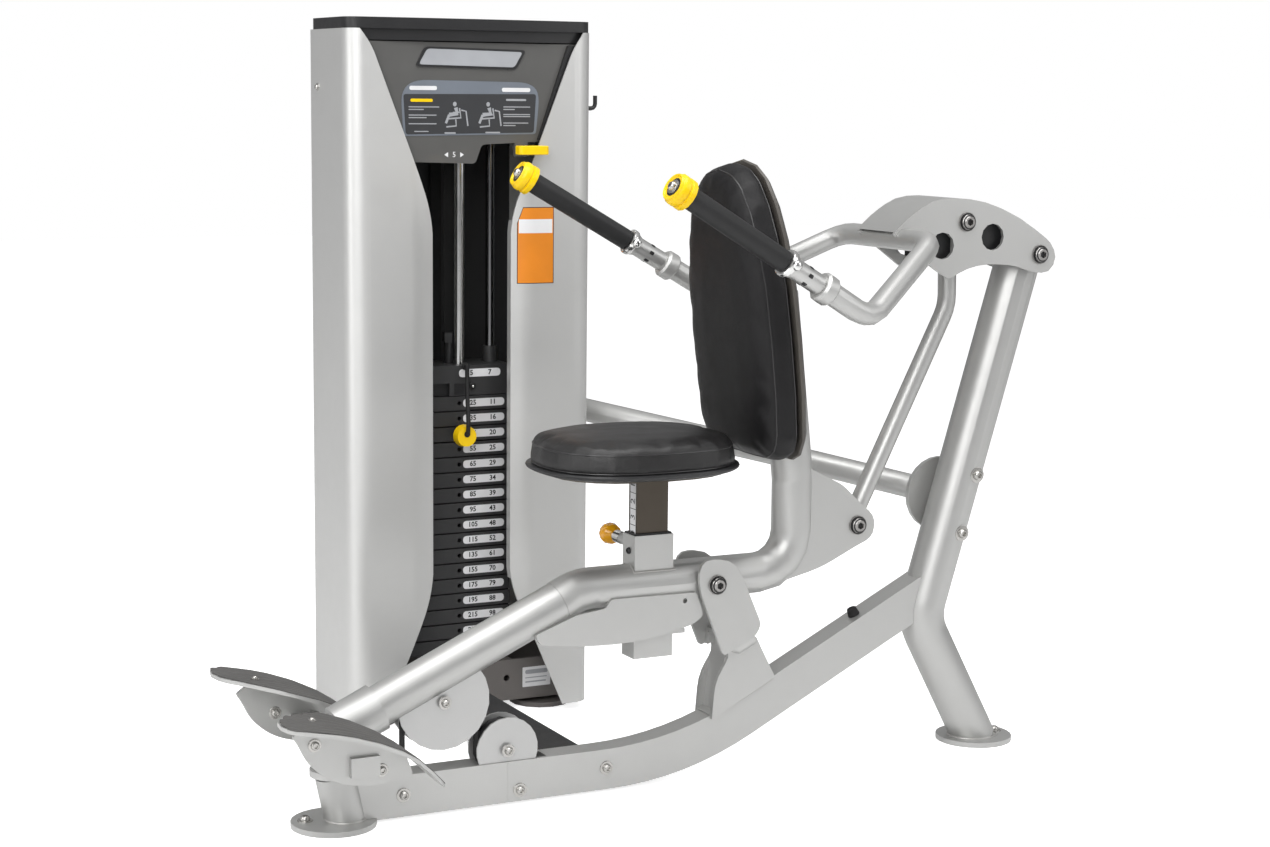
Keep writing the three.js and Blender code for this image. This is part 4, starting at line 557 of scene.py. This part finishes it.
# %% Frame screws
FRAME_SCREWS = [
    ("rail_screws", [(122, -25.4, 46), (348, -25.4, 27), (523, -25.4, 47)], TO_VIEWER, 8.5, "frame"),
    ("upright_screws", [(1321, -43.2, 548), (1289, -43.2, 434)], TO_VIEWER, 10, "frame"),
    ("front_foot_anchor", [(-48, 14, 10)], (0, 0, 1), 9, "frame"),
    ("rear_foot_anchor", [(1413, 0, 10)], (0, 0, 1), 9, "frame"),
    ("cover_screw_left", [(230, 713, 1291)], (-1, 0, 0), 5, "frame"),
    ("rail_guard_screw", [(324, -27.5, 104)], TO_VIEWER, 8, "frame"),
    ("carriage_guard_screw", [(201, -27.5, 206)], TO_VIEWER, 8, "carriage"),
    ("crescent_screws", [(-89, -160, 196), (30.5, -160, 139)], TO_VIEWER, 7.5, "carriage"),
    ("far_crescent_screw", [(-56, 152, 173)], TO_VIEWER, 7.5, "carriage"),
]
for given in FRAME_SCREWS:
    socket_screws(*given)
print("screws placed")

# %% [markdown]
# ## Pads
# A pad is foam under vinyl. The plain solid is remeshed finely, then a short cloth simulation
# inflates it, which rounds its edges and draws in its sides as stretched vinyl does.

# %% Pads
VOXEL = 0.006
SWELL = 0.006  # the most that a point may move outwards, in metres
SHRINK = 0.985  # leaves room for the swelling


def applied(piece, kind, **settings):
    """Adds a modifier to the active piece and applies it."""
    modifier = piece.modifiers.new(kind.lower(), kind)
    for key, value in settings.items():
        setattr(modifier, key, value)
    bpy.ops.object.modifier_apply(modifier=modifier.name)


def plump(name, node, body, finish):
    """Copies a soft solid, inflates it as cloth, limits the swelling and smooths it."""
    mesh = nodes[node].data.copy()
    mesh.name = name
    pad = bpy.data.objects.new(name, mesh)
    scene.collection.objects.link(pad)
    low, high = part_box(node)
    centre = (low + high) / 2
    mesh.transform(Matrix.Translation(centre) @ Matrix.Scale(SHRINK, 4) @ Matrix.Translation(-centre))
    bpy.context.view_layer.objects.active = pad
    pad.select_set(True)
    applied(pad, "REMESH", mode="VOXEL", voxel_size=VOXEL)
    before = np.empty(len(pad.data.vertices) * 3)
    pad.data.vertices.foreach_get("co", before)
    cloth = pad.modifiers.new("cloth", "CLOTH")
    cloth.settings.use_pressure = True
    cloth.settings.uniform_pressure_force = 4
    cloth.settings.effector_weights.gravity = 0
    for frame_number in range(1, 21):
        scene.frame_set(frame_number)
    bpy.ops.object.modifier_apply(modifier=cloth.name)
    scene.frame_set(1)
    after = np.empty_like(before)
    pad.data.vertices.foreach_get("co", after)
    move = (after - before).reshape(-1, 3)
    length = np.linalg.norm(move, axis=1, keepdims=True)
    move *= np.minimum(1, SWELL / np.maximum(length, 1e-9))
    pad.data.vertices.foreach_set("co", (before.reshape(-1, 3) + move).ravel())
    applied(pad, "SMOOTH", iterations=4)
    applied(pad, "SUBSURF", levels=1, render_levels=1)
    pad.select_set(False)
    for polygon in pad.data.polygons:
        polygon.use_smooth = True
    pad.data.materials.clear()
    pad.data.materials.append(finish)
    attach(pad, body)
    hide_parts(node)
    print(name, len(pad.data.vertices), "vertices")
    return pad


seat_cushion = plump("seat_cushion", "seat_pad", "seat", seat_vinyl_painted_lighter)
back_cushion = plump("back_cushion", "backrest_pad", "carriage", vinyl)

# %% [markdown]
# ## Seams
# Each pad's cover is sewn from a face and a side band. The seams were lost in the remeshing, so a
# thin piping is laid on the finished surface: rays cast from outside find where it runs.

# %% Seams
piping = moulded("seam piping", (0.022, 0.021, 0.022), 0.36, relief=0.1, gloss=0.2)
PIPING_RADIUS = 1.5
SEAT_X = 584


def laid_seam(name, pad, loops, middle_of, body):
    """Lays closed loops of piping where rays towards the pad's middle meet it."""
    form = bmesh.new()
    for loop in loops:
        points = []
        for start in loop:
            inward = (middle_of(start) - start).normalized()
            hit, spot, _, _ = pad.ray_cast(start * MM, inward)
            if hit:
                points.append(spot / MM - inward * 0.2)
        pipe(form, points, PIPING_RADIUS, 6, closed=True)
        print(name, len(points), "points")
    add_piece(name, form, piping, body)


seam_turns = circle(96)
seat_loops = [
    [Vector((SEAT_X + 260 * math.cos(t), 230 * math.sin(t), z)) for t in seam_turns] for z in (616, 649)
]
laid_seam("seat_seams", seat_cushion, seat_loops, lambda p: Vector((SEAT_X, 0, p.z)), "seat")

LEAN = math.radians(6.6)
back_up = Vector((-math.sin(LEAN), 0, math.cos(LEAN)))
back_out = Vector((-math.cos(LEAN), 0, -math.sin(LEAN)))
back_middle = Vector((806, 0, 598)) + back_up * 286


def back_loop(depth):
    """An oval round the backrest pad, at a depth behind the plane of its front."""
    return [
        back_middle - back_out * depth + back_up * 420 * math.cos(t) + Vector((0, 300 * math.sin(t), 0))
        for t in seam_turns
    ]


def back_axis(point):
    """The nearest point of the line that runs square through the backrest pad's middle."""
    return back_middle + back_out * (point - back_middle).dot(back_out)


laid_seam("back_seams", back_cushion, [back_loop(52), back_loop(13)], back_axis, "carriage")

# %% [markdown]
# ## Weight labels
# Each plate of the stack carries a capsule-shaped label with its load in two units. The labels of
# the picked plates rise with the stack, the others stay.

# %% Weight labels
STACK_TOP, PITCH, PLATE_THICK = 665.4, 31.8, 28.6
PICKED = 3
POUND = 0.4536  # in kilograms
PRINT_OUT = 0.45  # how far numbers lie in front of the plates
stack_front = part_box("resting_plates")[0].y / MM
loads = [25, 35, 45, 55, 65, 75, 85, 95, 105, 115, 135, 155, 175, 195, 215, 235, 255]
label = box_outline(-46, 46, -8.2, 8.2, 8.2)
for body, chosen in (("stack", range(PICKED)), ("frame", range(PICKED, len(loads)))):
    rows = []
    for i in chosen:
        height = STACK_TOP - PITCH * i - PLATE_THICK / 2
        rows.append((549, height, 525, loads[i], 569, round(loads[i] * POUND)))
    if body == "stack":
        rows.append((540, 713, 518, 15, 562, 7))  # the top plate's own load
    form = bmesh.new()
    items = []
    for x, z, *prints in rows:
        card(form, label, on_face((x, stack_front, z)))
        for print_x, number in (prints[:2], prints[2:]):
            items.append((str(number), on_face((print_x, stack_front - PRINT_OUT, z))))
    add_piece(f"{body}_labels", form, label_white, body)
    numerals(f"{body}_numerals", items, 14.5, ink_and_painted_shade, body, bold=0.35)
print(len(loads) + 1, "labels")

# %% [markdown]
# ## Header placard
# The header carries a bare raised plaque, and below it a printed guide: a blue-grey panel, a dark
# field, bars where lines of print stand, and two simple pictures of a seated sitter.

# %% Header placard
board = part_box("header_board")[0].y / MM
FIELD_OUT, PRINT_LAYER = 0.8, 1.1  # how far the guide's field and its print lie in front of the board


def on_board(name, outlines, out, material, thick):
    """Plates on the header board, or a distance in front of it."""
    plate_piece(name, outlines, on_face((0, board - out, 0)), material, "frame", thick)


plaque = rounded([(374, 1333), (590, 1329), (612, 1368), (394, 1372)], 9)
on_board("header_plaque", [plaque], 0, plaque_plastic, 3)
plaque_face = rounded([(381, 1337), (586, 1333.5), (604, 1364), (399, 1368)], 7)
on_board("header_plaque_face", [plaque_face], 3, panel_grey, 0.4)
guide_outline = [(349, 1197, 7), (635, 1201, 7), (643, 1285, 30), (618, 1304, 24), (372, 1307, 30),
                 (344, 1284, 26)]
on_board("guide_panel", [rounded(guide_outline, 8)], 0, panel_blue, FIELD_OUT)
field = rounded([(354, 1200), (630, 1204), (635, 1281), (349, 1279)], 6)
on_board("guide_field", [field], FIELD_OUT, panel_dark, 0.3)
titles = bars([(362, 420, 1291, 8), (560, 622, 1289, 8)])
text_lines = bars([
    (360, 425, 1254, 2), (360, 392, 1249, 2), (360, 419, 1238, 2), (360, 398, 1233, 2),
    (360, 419, 1221, 2), (372, 402, 1206, 2), (563, 622, 1255, 2), (563, 588, 1250, 2),
    (563, 622, 1240, 2), (563, 622, 1236, 2), (563, 618, 1223, 2), (563, 590, 1218, 2),
    (569, 613, 1269, 4), (436, 460, 1203, 3), (524, 556, 1204, 3),
])
on_board("guide_titles", titles, FIELD_OUT, label_white, 0.3)
on_board("guide_lines", text_lines, PRINT_LAYER, panel_grey, 0.2)
on_board("guide_mark", bars([(364, 411, 1267, 6)]), PRINT_LAYER, yellow, 0.2)


def stroke(points, width):
    """A thick line through points, as an outline."""
    path = [Vector(p) for p in points]
    left, right_side = [], []
    for i, here in enumerate(path):
        way = (path[min(i + 1, len(path) - 1)] - path[max(i - 1, 0)]).normalized()
        off = Vector((-way.y, way.x)) * width / 2
        left.append(here + off)
        right_side.append(here - off)
    return left + right_side[::-1]


def sitter(x, z, reach):
    """A generic pictogram: head, back and thigh, shin and arm, then pad and seat, post, upright."""
    return [
        [Vector((x + 4 * math.cos(t), z + 24 + 4.6 * math.sin(t))) for t in circle(12)],
        stroke([(x + 2, z + 17), (x + 5, z + 5), (x - 12, z + 3)], 8),
        stroke([(x - 12, z + 3), (x - 19, z - 14)], 5),
        stroke([(x + 1, z + 14), (x + 9, z + 8 - reach), (x - 4, z + 7 - reach)], 3.6),
        stroke([(x + 10, z + 16), (x + 13, z - 3), (x - 14, z - 5)], 3.2),
        stroke([(x + 2, z - 6), (x + 3, z - 19), (x - 18, z - 21)], 3),
        stroke([(x + 14, z + 12), (x + 24, z + 10), (x + 28, z - 19)], 3),
    ]


for where, x, reach in (("left", 458, 0), ("right", 530, 5)):
    form = bmesh.new()
    for step, points in enumerate(sitter(x, 1236, reach)):
        card(form, points, on_face((0, board - PRINT_LAYER - 0.05 * step, 0)), 0.2)
    add_piece(f"guide_picture_{where}", form, panel_grey, "frame")

trim_outline = rounded([(703, 1379), (724, 1379), (652, 1189), (637, 1189)], 3)
on_board("header_side_trim", [trim_outline], 0, black_plastic, 8)
arrows = [rounded([(436, 1160), (444, 1155), (444, 1165)], 0.5, 1),
          rounded([(478, 1160), (470, 1165), (470, 1155)], 0.5, 1)]
on_board("lever_legend_arrows", arrows, 0, label_white, 0.3)
numerals("lever_legend", [("5", on_face((457, board - 0.2, 1160)))], 15, label_white, "frame")

# %% [markdown]
# ## Sheets on curved covers
# A sheet on the right cover follows the cover's bend. A ray cast from in front of each grid point
# finds the surface, and the sheet lies a fraction of a millimetre off it.


# %% Plain sheets and the base plate
def closed_sheet(name, grids, material, body):
    """A thin piece between two grids of points in metres, the outer one first."""
    form = bmesh.new()
    top, low = [[[form.verts.new(point) for point in row] for row in grid] for grid in grids]
    across, along = len(top) - 1, len(top[0]) - 1
    for i in range(across):
        for k in range(along):
            form.faces.new((top[i][k], top[i + 1][k], top[i + 1][k + 1], top[i][k + 1]))
            form.faces.new((low[i][k + 1], low[i + 1][k + 1], low[i + 1][k], low[i][k]))
    edge = [(i, 0) for i in range(across)] + [(across, k) for k in range(along)]
    edge += [(i, along) for i in range(across, 0, -1)] + [(0, k) for k in range(along, 0, -1)]
    for (a, b), (c, d) in zip(edge, edge[1:] + edge[:1]):
        form.faces.new((top[a][b], top[c][d], low[c][d], low[a][b]))
    add_piece(name, form, material, body)


def draped_sheet(name, x_range, z_range, material, lift=0.35, cut=math.inf):
    """A sheet on the right cover's front; above the cut height its left edge slants inwards."""
    slant = 0.36
    grids = []
    for depth in (lift, 0.02):
        grid = [[] for _ in range(15)]
        for z in np.linspace(*z_range, 25):
            left = x_range[0] + max(0, z - cut) * slant
            for row, x in zip(grid, np.linspace(left, x_range[1], len(grid))):
                spot = nodes["right_cover"].ray_cast(Vector((x * MM, 0.3, z * MM)), Vector((0, 1, 0)))[1]
                row.append(spot - Vector((0, depth * MM, 0)))
        grids.append(grid)
    closed_sheet(name, grids, material, "frame")


draped_sheet("blank_sheet_edge", (591.5, 669.5), (899.5, 1054.5), ink_and_painted_shade, lift=0.2, cut=1022)
draped_sheet("blank_sheet", (593, 668), (901, 1053), label_orange, cut=1023)
draped_sheet("blank_sheet_band", (595, 666), (1002, 1030), label_white, lift=0.5)
base_outline = box_outline(632, 696, 42.5, 85, 2)
plate_piece("base_plate", [base_outline], on_face((0, 600, 0)), label_white, "frame", thick=0.6)
base_bars = bars([(638, 690, 74.5, 9), (638, 688, 62, 2), (638, 686, 53, 3)])
plate_piece("base_plate_bars", base_bars, on_face((0, 599.4, 0)), panel_grey, "frame", thick=0.2)

# %% [markdown]
# ## Footrest treads
# A ribbed rubber pad lies on each bowed plate. Its ridges fan out towards the toes and end in
# scallops, so shoes grip it however the leg is turned.

# %% Footrest treads
TREAD_X, TREAD_LONG, TREAD_LOW, TREAD_HIGH = -160, 298, 106, 140
TREAD_LINE = [(0, 1), (0.1, 0.979), (0.188, 0.943), (0.285, 0.9), (0.386, 0.843), (0.537, 0.729),
              (0.685, 0.579), (0.789, 0.436), (0.893, 0.236), (1, 0)]
line_x = [TREAD_X + u * TREAD_LONG for u, _ in TREAD_LINE]
line_z = [TREAD_LOW + v * TREAD_HIGH for _, v in TREAD_LINE]
toe_corners = [(-46, 72, 1), (-50, 72, 58), (-158.5, 151, 58), (-158.5, 239.5, 49), (-112, 239.5, 1),
               (-100, 100, 1)]
toe = [p for p in rounded(toe_corners, 1, 12) if not (p.x > -110 and 90 < p.y < 239)]
toe_length = np.cumsum([0] + [(b - a).length for a, b in zip(toe, toe[1:])])


def tread_height(x):
    return float(np.interp(x, line_x, line_z))


def toe_point(t):
    place = t * toe_length[-1]
    return Vector([np.interp(place, toe_length, [p[axis] for p in toe]) for axis in (0, 1)])


def tread_pad(name, side):
    """One scalloped, ridged pad; side is -1 near the viewer and 1 on the tower's side."""
    lobes, across, along = 8, 96, 26
    grids = []
    for top in (True, False):
        grid = []
        for i in range(across + 1):
            t = i / across
            wave = abs(math.sin(lobes * math.pi * t))
            heel = Vector((135.5, 144 + 44 * t))
            bend = Vector((50 - 10 * t, 73 + 166 * t))
            start = toe_point(t)
            start += (bend - start).normalized() * (1.2 + 4.5 * (1 - wave ** 0.5))
            row = []
            for k in range(along + 1):
                q = k / along
                spot = start * (1 - q) ** 2 + bend * 2 * q * (1 - q) + heel * q * q
                ridge = wave * (1 - 0.4 * q)
                lift = (1.2 + 2.2 * ridge) if top else 0.15
                row.append(Vector((spot.x, side * spot.y, tread_height(spot.x) + lift)) * MM)
            grid.append(row)
        grids.append(grid)
    closed_sheet(name, grids, tread_rubber, "carriage")


for side, where in SIDES:
    tread_pad(f"tread_pad_{where}", side)
    spot = (-92, side * 156, tread_height(-92) + 2.2)
    socket_screws(f"tread_screw_{where}", [spot], (0.18, 0, 0.98), 5, "carriage")

# %% [markdown]
# ## Weld beads
# The frame is welded before it is painted. A bead follows each joint as a pipe half sunk in both
# parts, and its finish has a coarse ripple.


# %% Weld beads
def ring(centre, radius_x, radius_y):
    x, y, z = centre
    return [(x + radius_x * math.cos(t), y + radius_y * math.sin(t), z) for t in circle(40)]


def bead(name, runs, body, radius, sides=6, closed=True):
    form = bmesh.new()
    for points in runs:
        pipe(form, points, radius, sides, closed)
    add_piece(name, form, weld, body)


bead("front_foot_weld", [ring((22, 0, 10.5), 37, 37)], "frame", 2.6)
bead("rear_foot_weld", [ring((1359, 0, 10.5), 51, 44.5)], "frame", 2.6)
bead("post_collar_weld", [ring((4, 0, 104), 37.5, 37.5)], "frame", 2)
flange = [(1293 + 26 * math.cos(t), 55.5, 500 + 26 * math.sin(t)) for t in circle(32)]
bead("brace_flange_weld", [flange], "frame", 2.4)


def below(node, x, y, z):
    """Where a ray straight down from a place first meets a node, in millimetres."""
    hit, spot, _, _ = nodes[node].ray_cast(Vector((x, y, z)) * MM, Vector((0, 0, -1)))
    return spot / MM if hit else None


sleeve_run = []
for t in circle(48):
    x = 618 + max(-42, min(42, 60 * math.cos(t)))
    y = max(-27, min(27, 40 * math.sin(t)))
    spot = below("carriage_frame", x, y, 420)
    sleeve_run.append((x, y, spot.z if spot else 418))
bead("sleeve_weld", [sleeve_run], "carriage", 1.8)

bracket_runs = [
    [(x, side * 27.5, below("rail_rear", x, side * 20, 420).z - 1) for x in np.linspace(742, 874, 30)]
    for side in (-1, 1)
]
bead("bracket_weld", bracket_runs, "frame", 3, sides=8, closed=False)

# The bracket's side plates are pressed inwards below the eye: a rounded fold joins the two planes.
INNER, FOLD_OUT, FOLD_DEEP = 34.4, 16.4, 20
start, end = Vector((772, 0, 250)), Vector((820, 0, 272.5))
along = (end - start).normalized()
across = Vector((along.z, 0, -along.x))
section = [(0, INNER)]
section += [(FOLD_DEEP * math.sin(t), INNER + FOLD_OUT * math.cos(t)) for t in np.linspace(0, math.pi / 2, 9)]
form = bmesh.new()
for side in (-1, 1):
    stations = []
    for share, scale in ((0, 0.15), (0.12, 0.6), (0.3, 1), (1, 1)):
        base = start.lerp(end, share)
        stations.append([
            (base + across * deep * scale + Vector((0, side * (INNER + (y - INNER) * scale), 0))) * MM
            for deep, y in section
        ])
    loft(form, stations)
add_piece("bracket_fold", form, silver, "frame")

# %% [markdown]
# ## Seat pan and post scale
# A black moulded pan closes the seat's underside with a small lip, and a strip with five numbered
# marks on the post shows the height.

# %% Seat pan and post scale
SEAT_LONG, SEAT_WIDE = 196, 165  # half of the seat's length and width
PAN = ((0.87, 600.5), (0.92, 602), (0.96, 604.5), (0.985, 607.5), (0.992, 610.5), (0.985, 613.5), (0.9, 614))


def seat_ring(share, z):
    """The seat's rounded outline at a share of its size."""
    points = []
    for t in circle(64):
        c, n = math.cos(t), math.sin(t)
        x = SEAT_X + math.copysign(SEAT_LONG * abs(c) ** 0.8, c) * share
        y = math.copysign(SEAT_WIDE * abs(n) ** 0.8, n) * share
        points.append(Vector((x, y, z)) * MM)
    return points


form = bmesh.new()
loft(form, [seat_ring(share, z) for share, z in PAN])
add_piece("seat_pan_shell", form, black_plastic, "seat")

POST_FACE, POST_PRINT, MARK_STEP = 586, 585.7, 30
side_face = ((0, 0, 1), (0, 1, 0))  # right and up on a face that looks along -X
strip = box_outline(420, 586, -11, 11, 1)
plate_piece("post_scale", [strip], on_face((POST_FACE, 0, 0), *side_face), label_white, "seat", thick=0.3)
marks = [(str(k + 1), on_face((POST_PRINT, 0, 570 - MARK_STEP * k), *side_face)) for k in range(5)]
numerals("post_numbers", marks, 24, ink_and_painted_shade, "seat")
ticks = [box_outline(555 - MARK_STEP * k, 556.2 - MARK_STEP * k, -11, 11, 0.4) for k in range(5)]
plate_piece("post_ticks", ticks, on_face((POST_PRINT, 0, 0), *side_face), ink_and_painted_shade, "seat", thick=0.1)

gasket = [box_outline(580, 585.6, -22, 22, 1), box_outline(650.4, 656, -22, 22, 1),
          box_outline(585.8, 650.2, -22, -17.4, 1), box_outline(585.8, 650.2, 17.4, 22, 1)]
sleeve_top = on_face((0, 0, 478), (1, 0, 0), (0, 1, 0))
plate_piece("sleeve_gasket", gasket, sleeve_top, black_plastic, "carriage", thick=3)
pull_axis = ((598, 0, 458), (0, 1, 0))
barrel = [(tube(9.2, 12, 65.8, 89), *pull_axis, 24), (tube(5.8, 8, 89.2, 101.8), *pull_axis, 20)]
turned_piece("pull_barrel", barrel, chrome, "seat_pull_pin")
socket_screws("sleeve_screw", [(578, -2, 448)], (-1, 0, 0), 6.5, "carriage", False, "black_plastic", ink_and_painted_shade)

# %% [markdown]
# ## Pivot bolts and grip ends
# A black ring on each pivot bolt's washer, a dark ring on its head's bevel and a dark disc in its
# socket are painted shade. Each grip ends in a yellow cap with a recessed steel bolt, and a chrome
# ring stands between the foam and the sleeve.

# %% Pivot bolts and grip ends
PIVOTS = {
    "arm_pivot": (1438, 981, 66, "frame"), "link_upper": (1264, 1047, 66, "arm"),
    "link_lower": (1057, 465, 28, "carriage"), "rock_pivot": (738, 379, 51, "frame"),
}
HEAD_OUT = 3.3  # a bolt head's base, outside the plate
head_edge_shade = [(13.7, 5.8), (14.3, 6.1), (12.3, 8.2), (11.8, 7.7), (13.7, 5.8)]
for name, (x, z, half, body) in PIVOTS.items():
    forms = []
    for side in (-1, 1):
        at = ((x, side * (half + HEAD_OUT), z), (0, side, 0))
        # Painted shade: a dark ring on the washer, one on the head's bevel, and a dark disc in the socket.
        forms += [(tube(15.1, 17.4, 0, 0.9), *at, 28), (head_edge_shade, *at, 28), (disc(6.7, 4.1, 4.5), *at, 6)]
    turned_piece(f"{name}_painted_shade_rings", forms, ink_and_painted_shade, body)

ring_form = [(23.5, 87), (25.4, 88.6), (26.2, 92), (26.2, 96), (25.4, 99), (23.5, 100.2), (23.5, 87)]
stud_form = [(0, 22), (9.5, 22), (9.5, 27), (8, 30.5), (4.5, 32.5), (0, 33)]
rim_form = [(17, 362.4), (20, 362.4), (21.5, 365), (24, 366), (25.6, 363.5), (25.6, 362.2), (17, 362.2)]
notch = box_outline(-4.5, 4.5, -3.5, 3.5, 1.5)
for side, where in SIDES:
    body = f"handle_{where}"
    root = Vector((808, side * 298, 949))
    way = Vector((-317, side * 22, 184)).normalized()
    stud = Vector((-0.35, -1, 0.25))
    stud = (stud - way * stud.dot(way)).normalized()
    ring_and_stud = [(ring_form, root, way), (stud_form, root + way * 90, stud, 24)]
    turned_piece(f"grip_ring_{where}", ring_and_stud, chrome, body)
    form = bmesh.new()
    # Dark plates on the sleeve are painted shade in its notches.
    for k in range(6):
        out = Matrix.Rotation(k * math.pi / 3, 3, way) @ stud
        card(form, notch, on_face(root + way * 50 + out * 18.5, way, out.cross(way)), 0.8)
    add_piece(f"sleeve_notch_shade_{where}", form, ink_and_painted_shade, body)
    # A dark disc in the cap's recess, under the bolt, is painted shade.
    turned_piece(f"cap_recess_shade_{where}", [(disc(17, 362.6, 363.4), root, way, 24)], ink_and_painted_shade, body)
    socket_screws(f"cap_bolt_{where}", [root + way * 363.2], way, 8.5, body)
    turned_piece(f"cap_rim_{where}", [(rim_form, root, way, 24)], yellow, body)

web = [rounded([(1296, 990), (1376, 976), (1376, 1040), (1296, 1050)], 6),
       rounded([(1197, 976), (1240, 976), (1240, 1028), (1197, 1026)], 4)]
# Dark plates on both faces of the arm box.
for side, where in SIDES:
    plate_piece(f"arm_box_dark_plates_{where}", web, on_face((0, side * 46, 0)), ink_and_painted_shade, "arm", 1.5)
print(len(PIVOTS), "pivots dressed")

# %% [markdown]
# ## Belts and lanyard
# Belts are flexible, so no single body carries them. Each is a copy of its solid, cut finely along
# its run, that takes the solid's place. The lanyard is made the same way.


# %% Belts and lanyard
def hang(name, form, node, limit=38):
    """Puts a flexible piece in its solid's place."""
    piece = bpy.data.objects.new(name, finished_mesh(name, form))
    scene.collection.objects.link(piece)
    piece.data.materials.append(rubber)
    round_shading(piece.data, limit)
    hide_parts(node)
    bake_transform(piece)


def belt_run(name, node):
    """A copy of a belt's solid with no edge longer than 30 mm, as far as five cuts allow."""
    form = bmesh.new()
    form.from_mesh(nodes[node].data)
    bmesh.ops.remove_doubles(form, verts=form.verts, dist=1e-6)
    for _ in range(5):
        long = [e for e in form.edges if e.calc_length() > 0.03]
        if not long:
            break
        bmesh.ops.subdivide_edges(form, edges=long, cuts=1, use_grid_fill=True)
        bmesh.ops.triangulate(form, faces=[f for f in form.faces if len(f.verts) > 4])
    hang(name, form, node, 30)


belt_run("lift_belt_run", "lift_belt")
belt_run("carriage_belt_run", "carriage_belt")

# Each point of the lanyard is an x, a distance in front of the plates, and a height.
LANYARD = [(508, -2, 729.5), (508, 9, 729), (507, 12, 712), (504, 20, 682), (500, 32, 650), (496, 45, 618),
           (495, 45, 594)]
route = [Vector((x, stack_front - out, z)) for x, out, z in LANYARD]
smooth_route = []
for i in range(len(route) - 1):
    p0, p1, p2, p3 = (route[min(max(i + k, 0), len(route) - 1)] for k in (-1, 0, 1, 2))
    for k in range(6):
        t = k / 6
        square = (2 * p0 - 5 * p1 + 4 * p2 - p3) * t * t
        cube = (3 * p1 - p0 - 3 * p2 + p3) * t ** 3
        smooth_route.append(0.5 * (2 * p1 + (p2 - p0) * t + square + cube))
smooth_route.append(route[-1])
form = bmesh.new()
pipe(form, smooth_route, 4.6, 10)
lathe(form, [(0, 0), (8, 0), (8, 4), (6, 6), (0, 6)], (508, stack_front, 727), TO_VIEWER, 20)
hang("lanyard_cord", form, "pin_lanyard")

# %% [markdown]
# ## Pin and top plate
# The selector pin's knob has a dark centre. Dark plates are painted shade in the top plate's
# recess, beside a small bright button on a black ring.

# %% Pin and top plate
knob_disc = (disc(6.5, 0, 0.8), (495, 574, 592.5), TO_VIEWER, 24)
turned_piece("knob_centre", [knob_disc], ink_and_painted_shade, "selector_pin")
# Painted shade: dark plates in the top plate's recess.
for name, x0, x1, y in (("top_plate_recess_shade", 483, 512, 615), ("top_plate_floor_shade", 441, 481, 625)):
    plate_piece(name, [box_outline(x0, x1, 669, 692, 1)], on_face((0, y, 0)), ink_and_painted_shade, "stack")
button = ((523, 615, 685.6), TO_VIEWER)
button_ring = ([(0, 0), (7.5, 0), (7.5, 2.5), (6, 4), (0, 4)], *button, 20)
turned_piece("head_button_ring", [button_ring], ink_and_painted_shade, "stack")
button_form = ([(0, 4), (3.4, 4), (3.0, 6), (1.6, 7.2), (0, 7.5)], *button, 16)
turned_piece("head_button", [button_form], chrome, "stack")

# %% [markdown]
# ## Floor, world and lamps
# The picture has a white ground. A pale floor catches the shadow, and the world shows white to
# the camera and a little of it to polished metal, but lights the machine with a softer sky. Four
# soft lamps stand in front, above, at the right and at the left.

# %% Floor, world and lamps
WHITE = (1, 1, 1, 1)
HORIZON = (0.30, 0.30, 0.31, 1)
FLOOR_MIRRORED, SKY_MIRRORED = 0.22, 0.06  # how much of floor and sky polished metal sees as white
floor_shader = Shader("studio floor", (0.86, 0.86, 0.86), 0.9)
patches = floor_shader.mix(floor_shader.noise(2, 2), (0.80, 0.80, 0.80, 1), (0.83, 0.83, 0.83, 1))
floor_shader.set("Base Color", patches)
seen = floor_shader.is_ray("Camera") + floor_shader.is_ray("Transmission")
seen = seen + floor_shader.is_ray("Glossy") * FLOOR_MIRRORED
floor_shader.set("Emission Strength", 1.0)
floor_shader.set("Emission Color", floor_shader.mix(seen.clamp(), (0, 0, 0, 1), (0.74, 0.74, 0.74, 1)))
floor_mesh = bpy.data.meshes.new("studio_floor")
floor_mesh.from_pydata([(-14, -14, 0), (16, -14, 0), (16, 16, 0), (-14, 16, 0)], [], [(0, 1, 2, 3)])
floor_mesh.materials.append(floor_shader.material)
floor = bpy.data.objects.new("studio_floor", floor_mesh)
floor.location.z = -0.0005
scene.collection.objects.link(floor)

world = bpy.data.worlds.new("studio")
scene.world = world
world.use_nodes = True
sky = Tree(world.node_tree)
sky.tree.nodes.clear()
upwards = sky.node("SeparateXYZ", {}, sky.node("TexCoord", {}, out="Generated"), out="Z")
ramp = sky.node("ValToRGB", {}, upwards)
for stop, position, color in zip(ramp.socket.node.color_ramp.elements, (0.0, 0.75), (HORIZON, WHITE)):
    stop.position, stop.color = position, color
lit = sky.node("Background", {}, ramp, 0.52)
shown = sky.node("Background", {}, WHITE, 1.0)
seen = sky.is_ray("Glossy") * SKY_MIRRORED + sky.is_ray("Camera") + sky.is_ray("Transmission")
result = sky.tree.nodes.new("ShaderNodeOutputWorld")
sky.feed(result.inputs[0], sky.node("MixShader", {}, seen, lit, shown))


def lamp(name, place, aim, size, power):
    data = bpy.data.lights.new(name, "AREA")
    data.shape = "RECTANGLE"
    data.size, data.size_y = size
    data.energy = power
    light = bpy.data.objects.new(name, data)
    light.location = place
    light.rotation_euler = (Vector(aim) - Vector(place)).to_track_quat("-Z", "Y").to_euler()
    scene.collection.objects.link(light)


lamp("key", (-2.4, -3.2, 2.9), (0.5, 0.2, 0.7), (3.0, 3.0), 120)
lamp("top", (0.6, -0.7, 3.7), (0.7, 0.1, 0.6), (3.2, 2.0), 85)
lamp("right fill", (3.6, -2.4, 2.2), (0.9, 0.2, 0.7), (2.0, 2.6), 28)
lamp("left strip", (-2.8, 0.2, 1.6), (0.4, 0.5, 0.7), (1.6, 2.8), 30)
scene.view_settings.view_transform = "Standard"
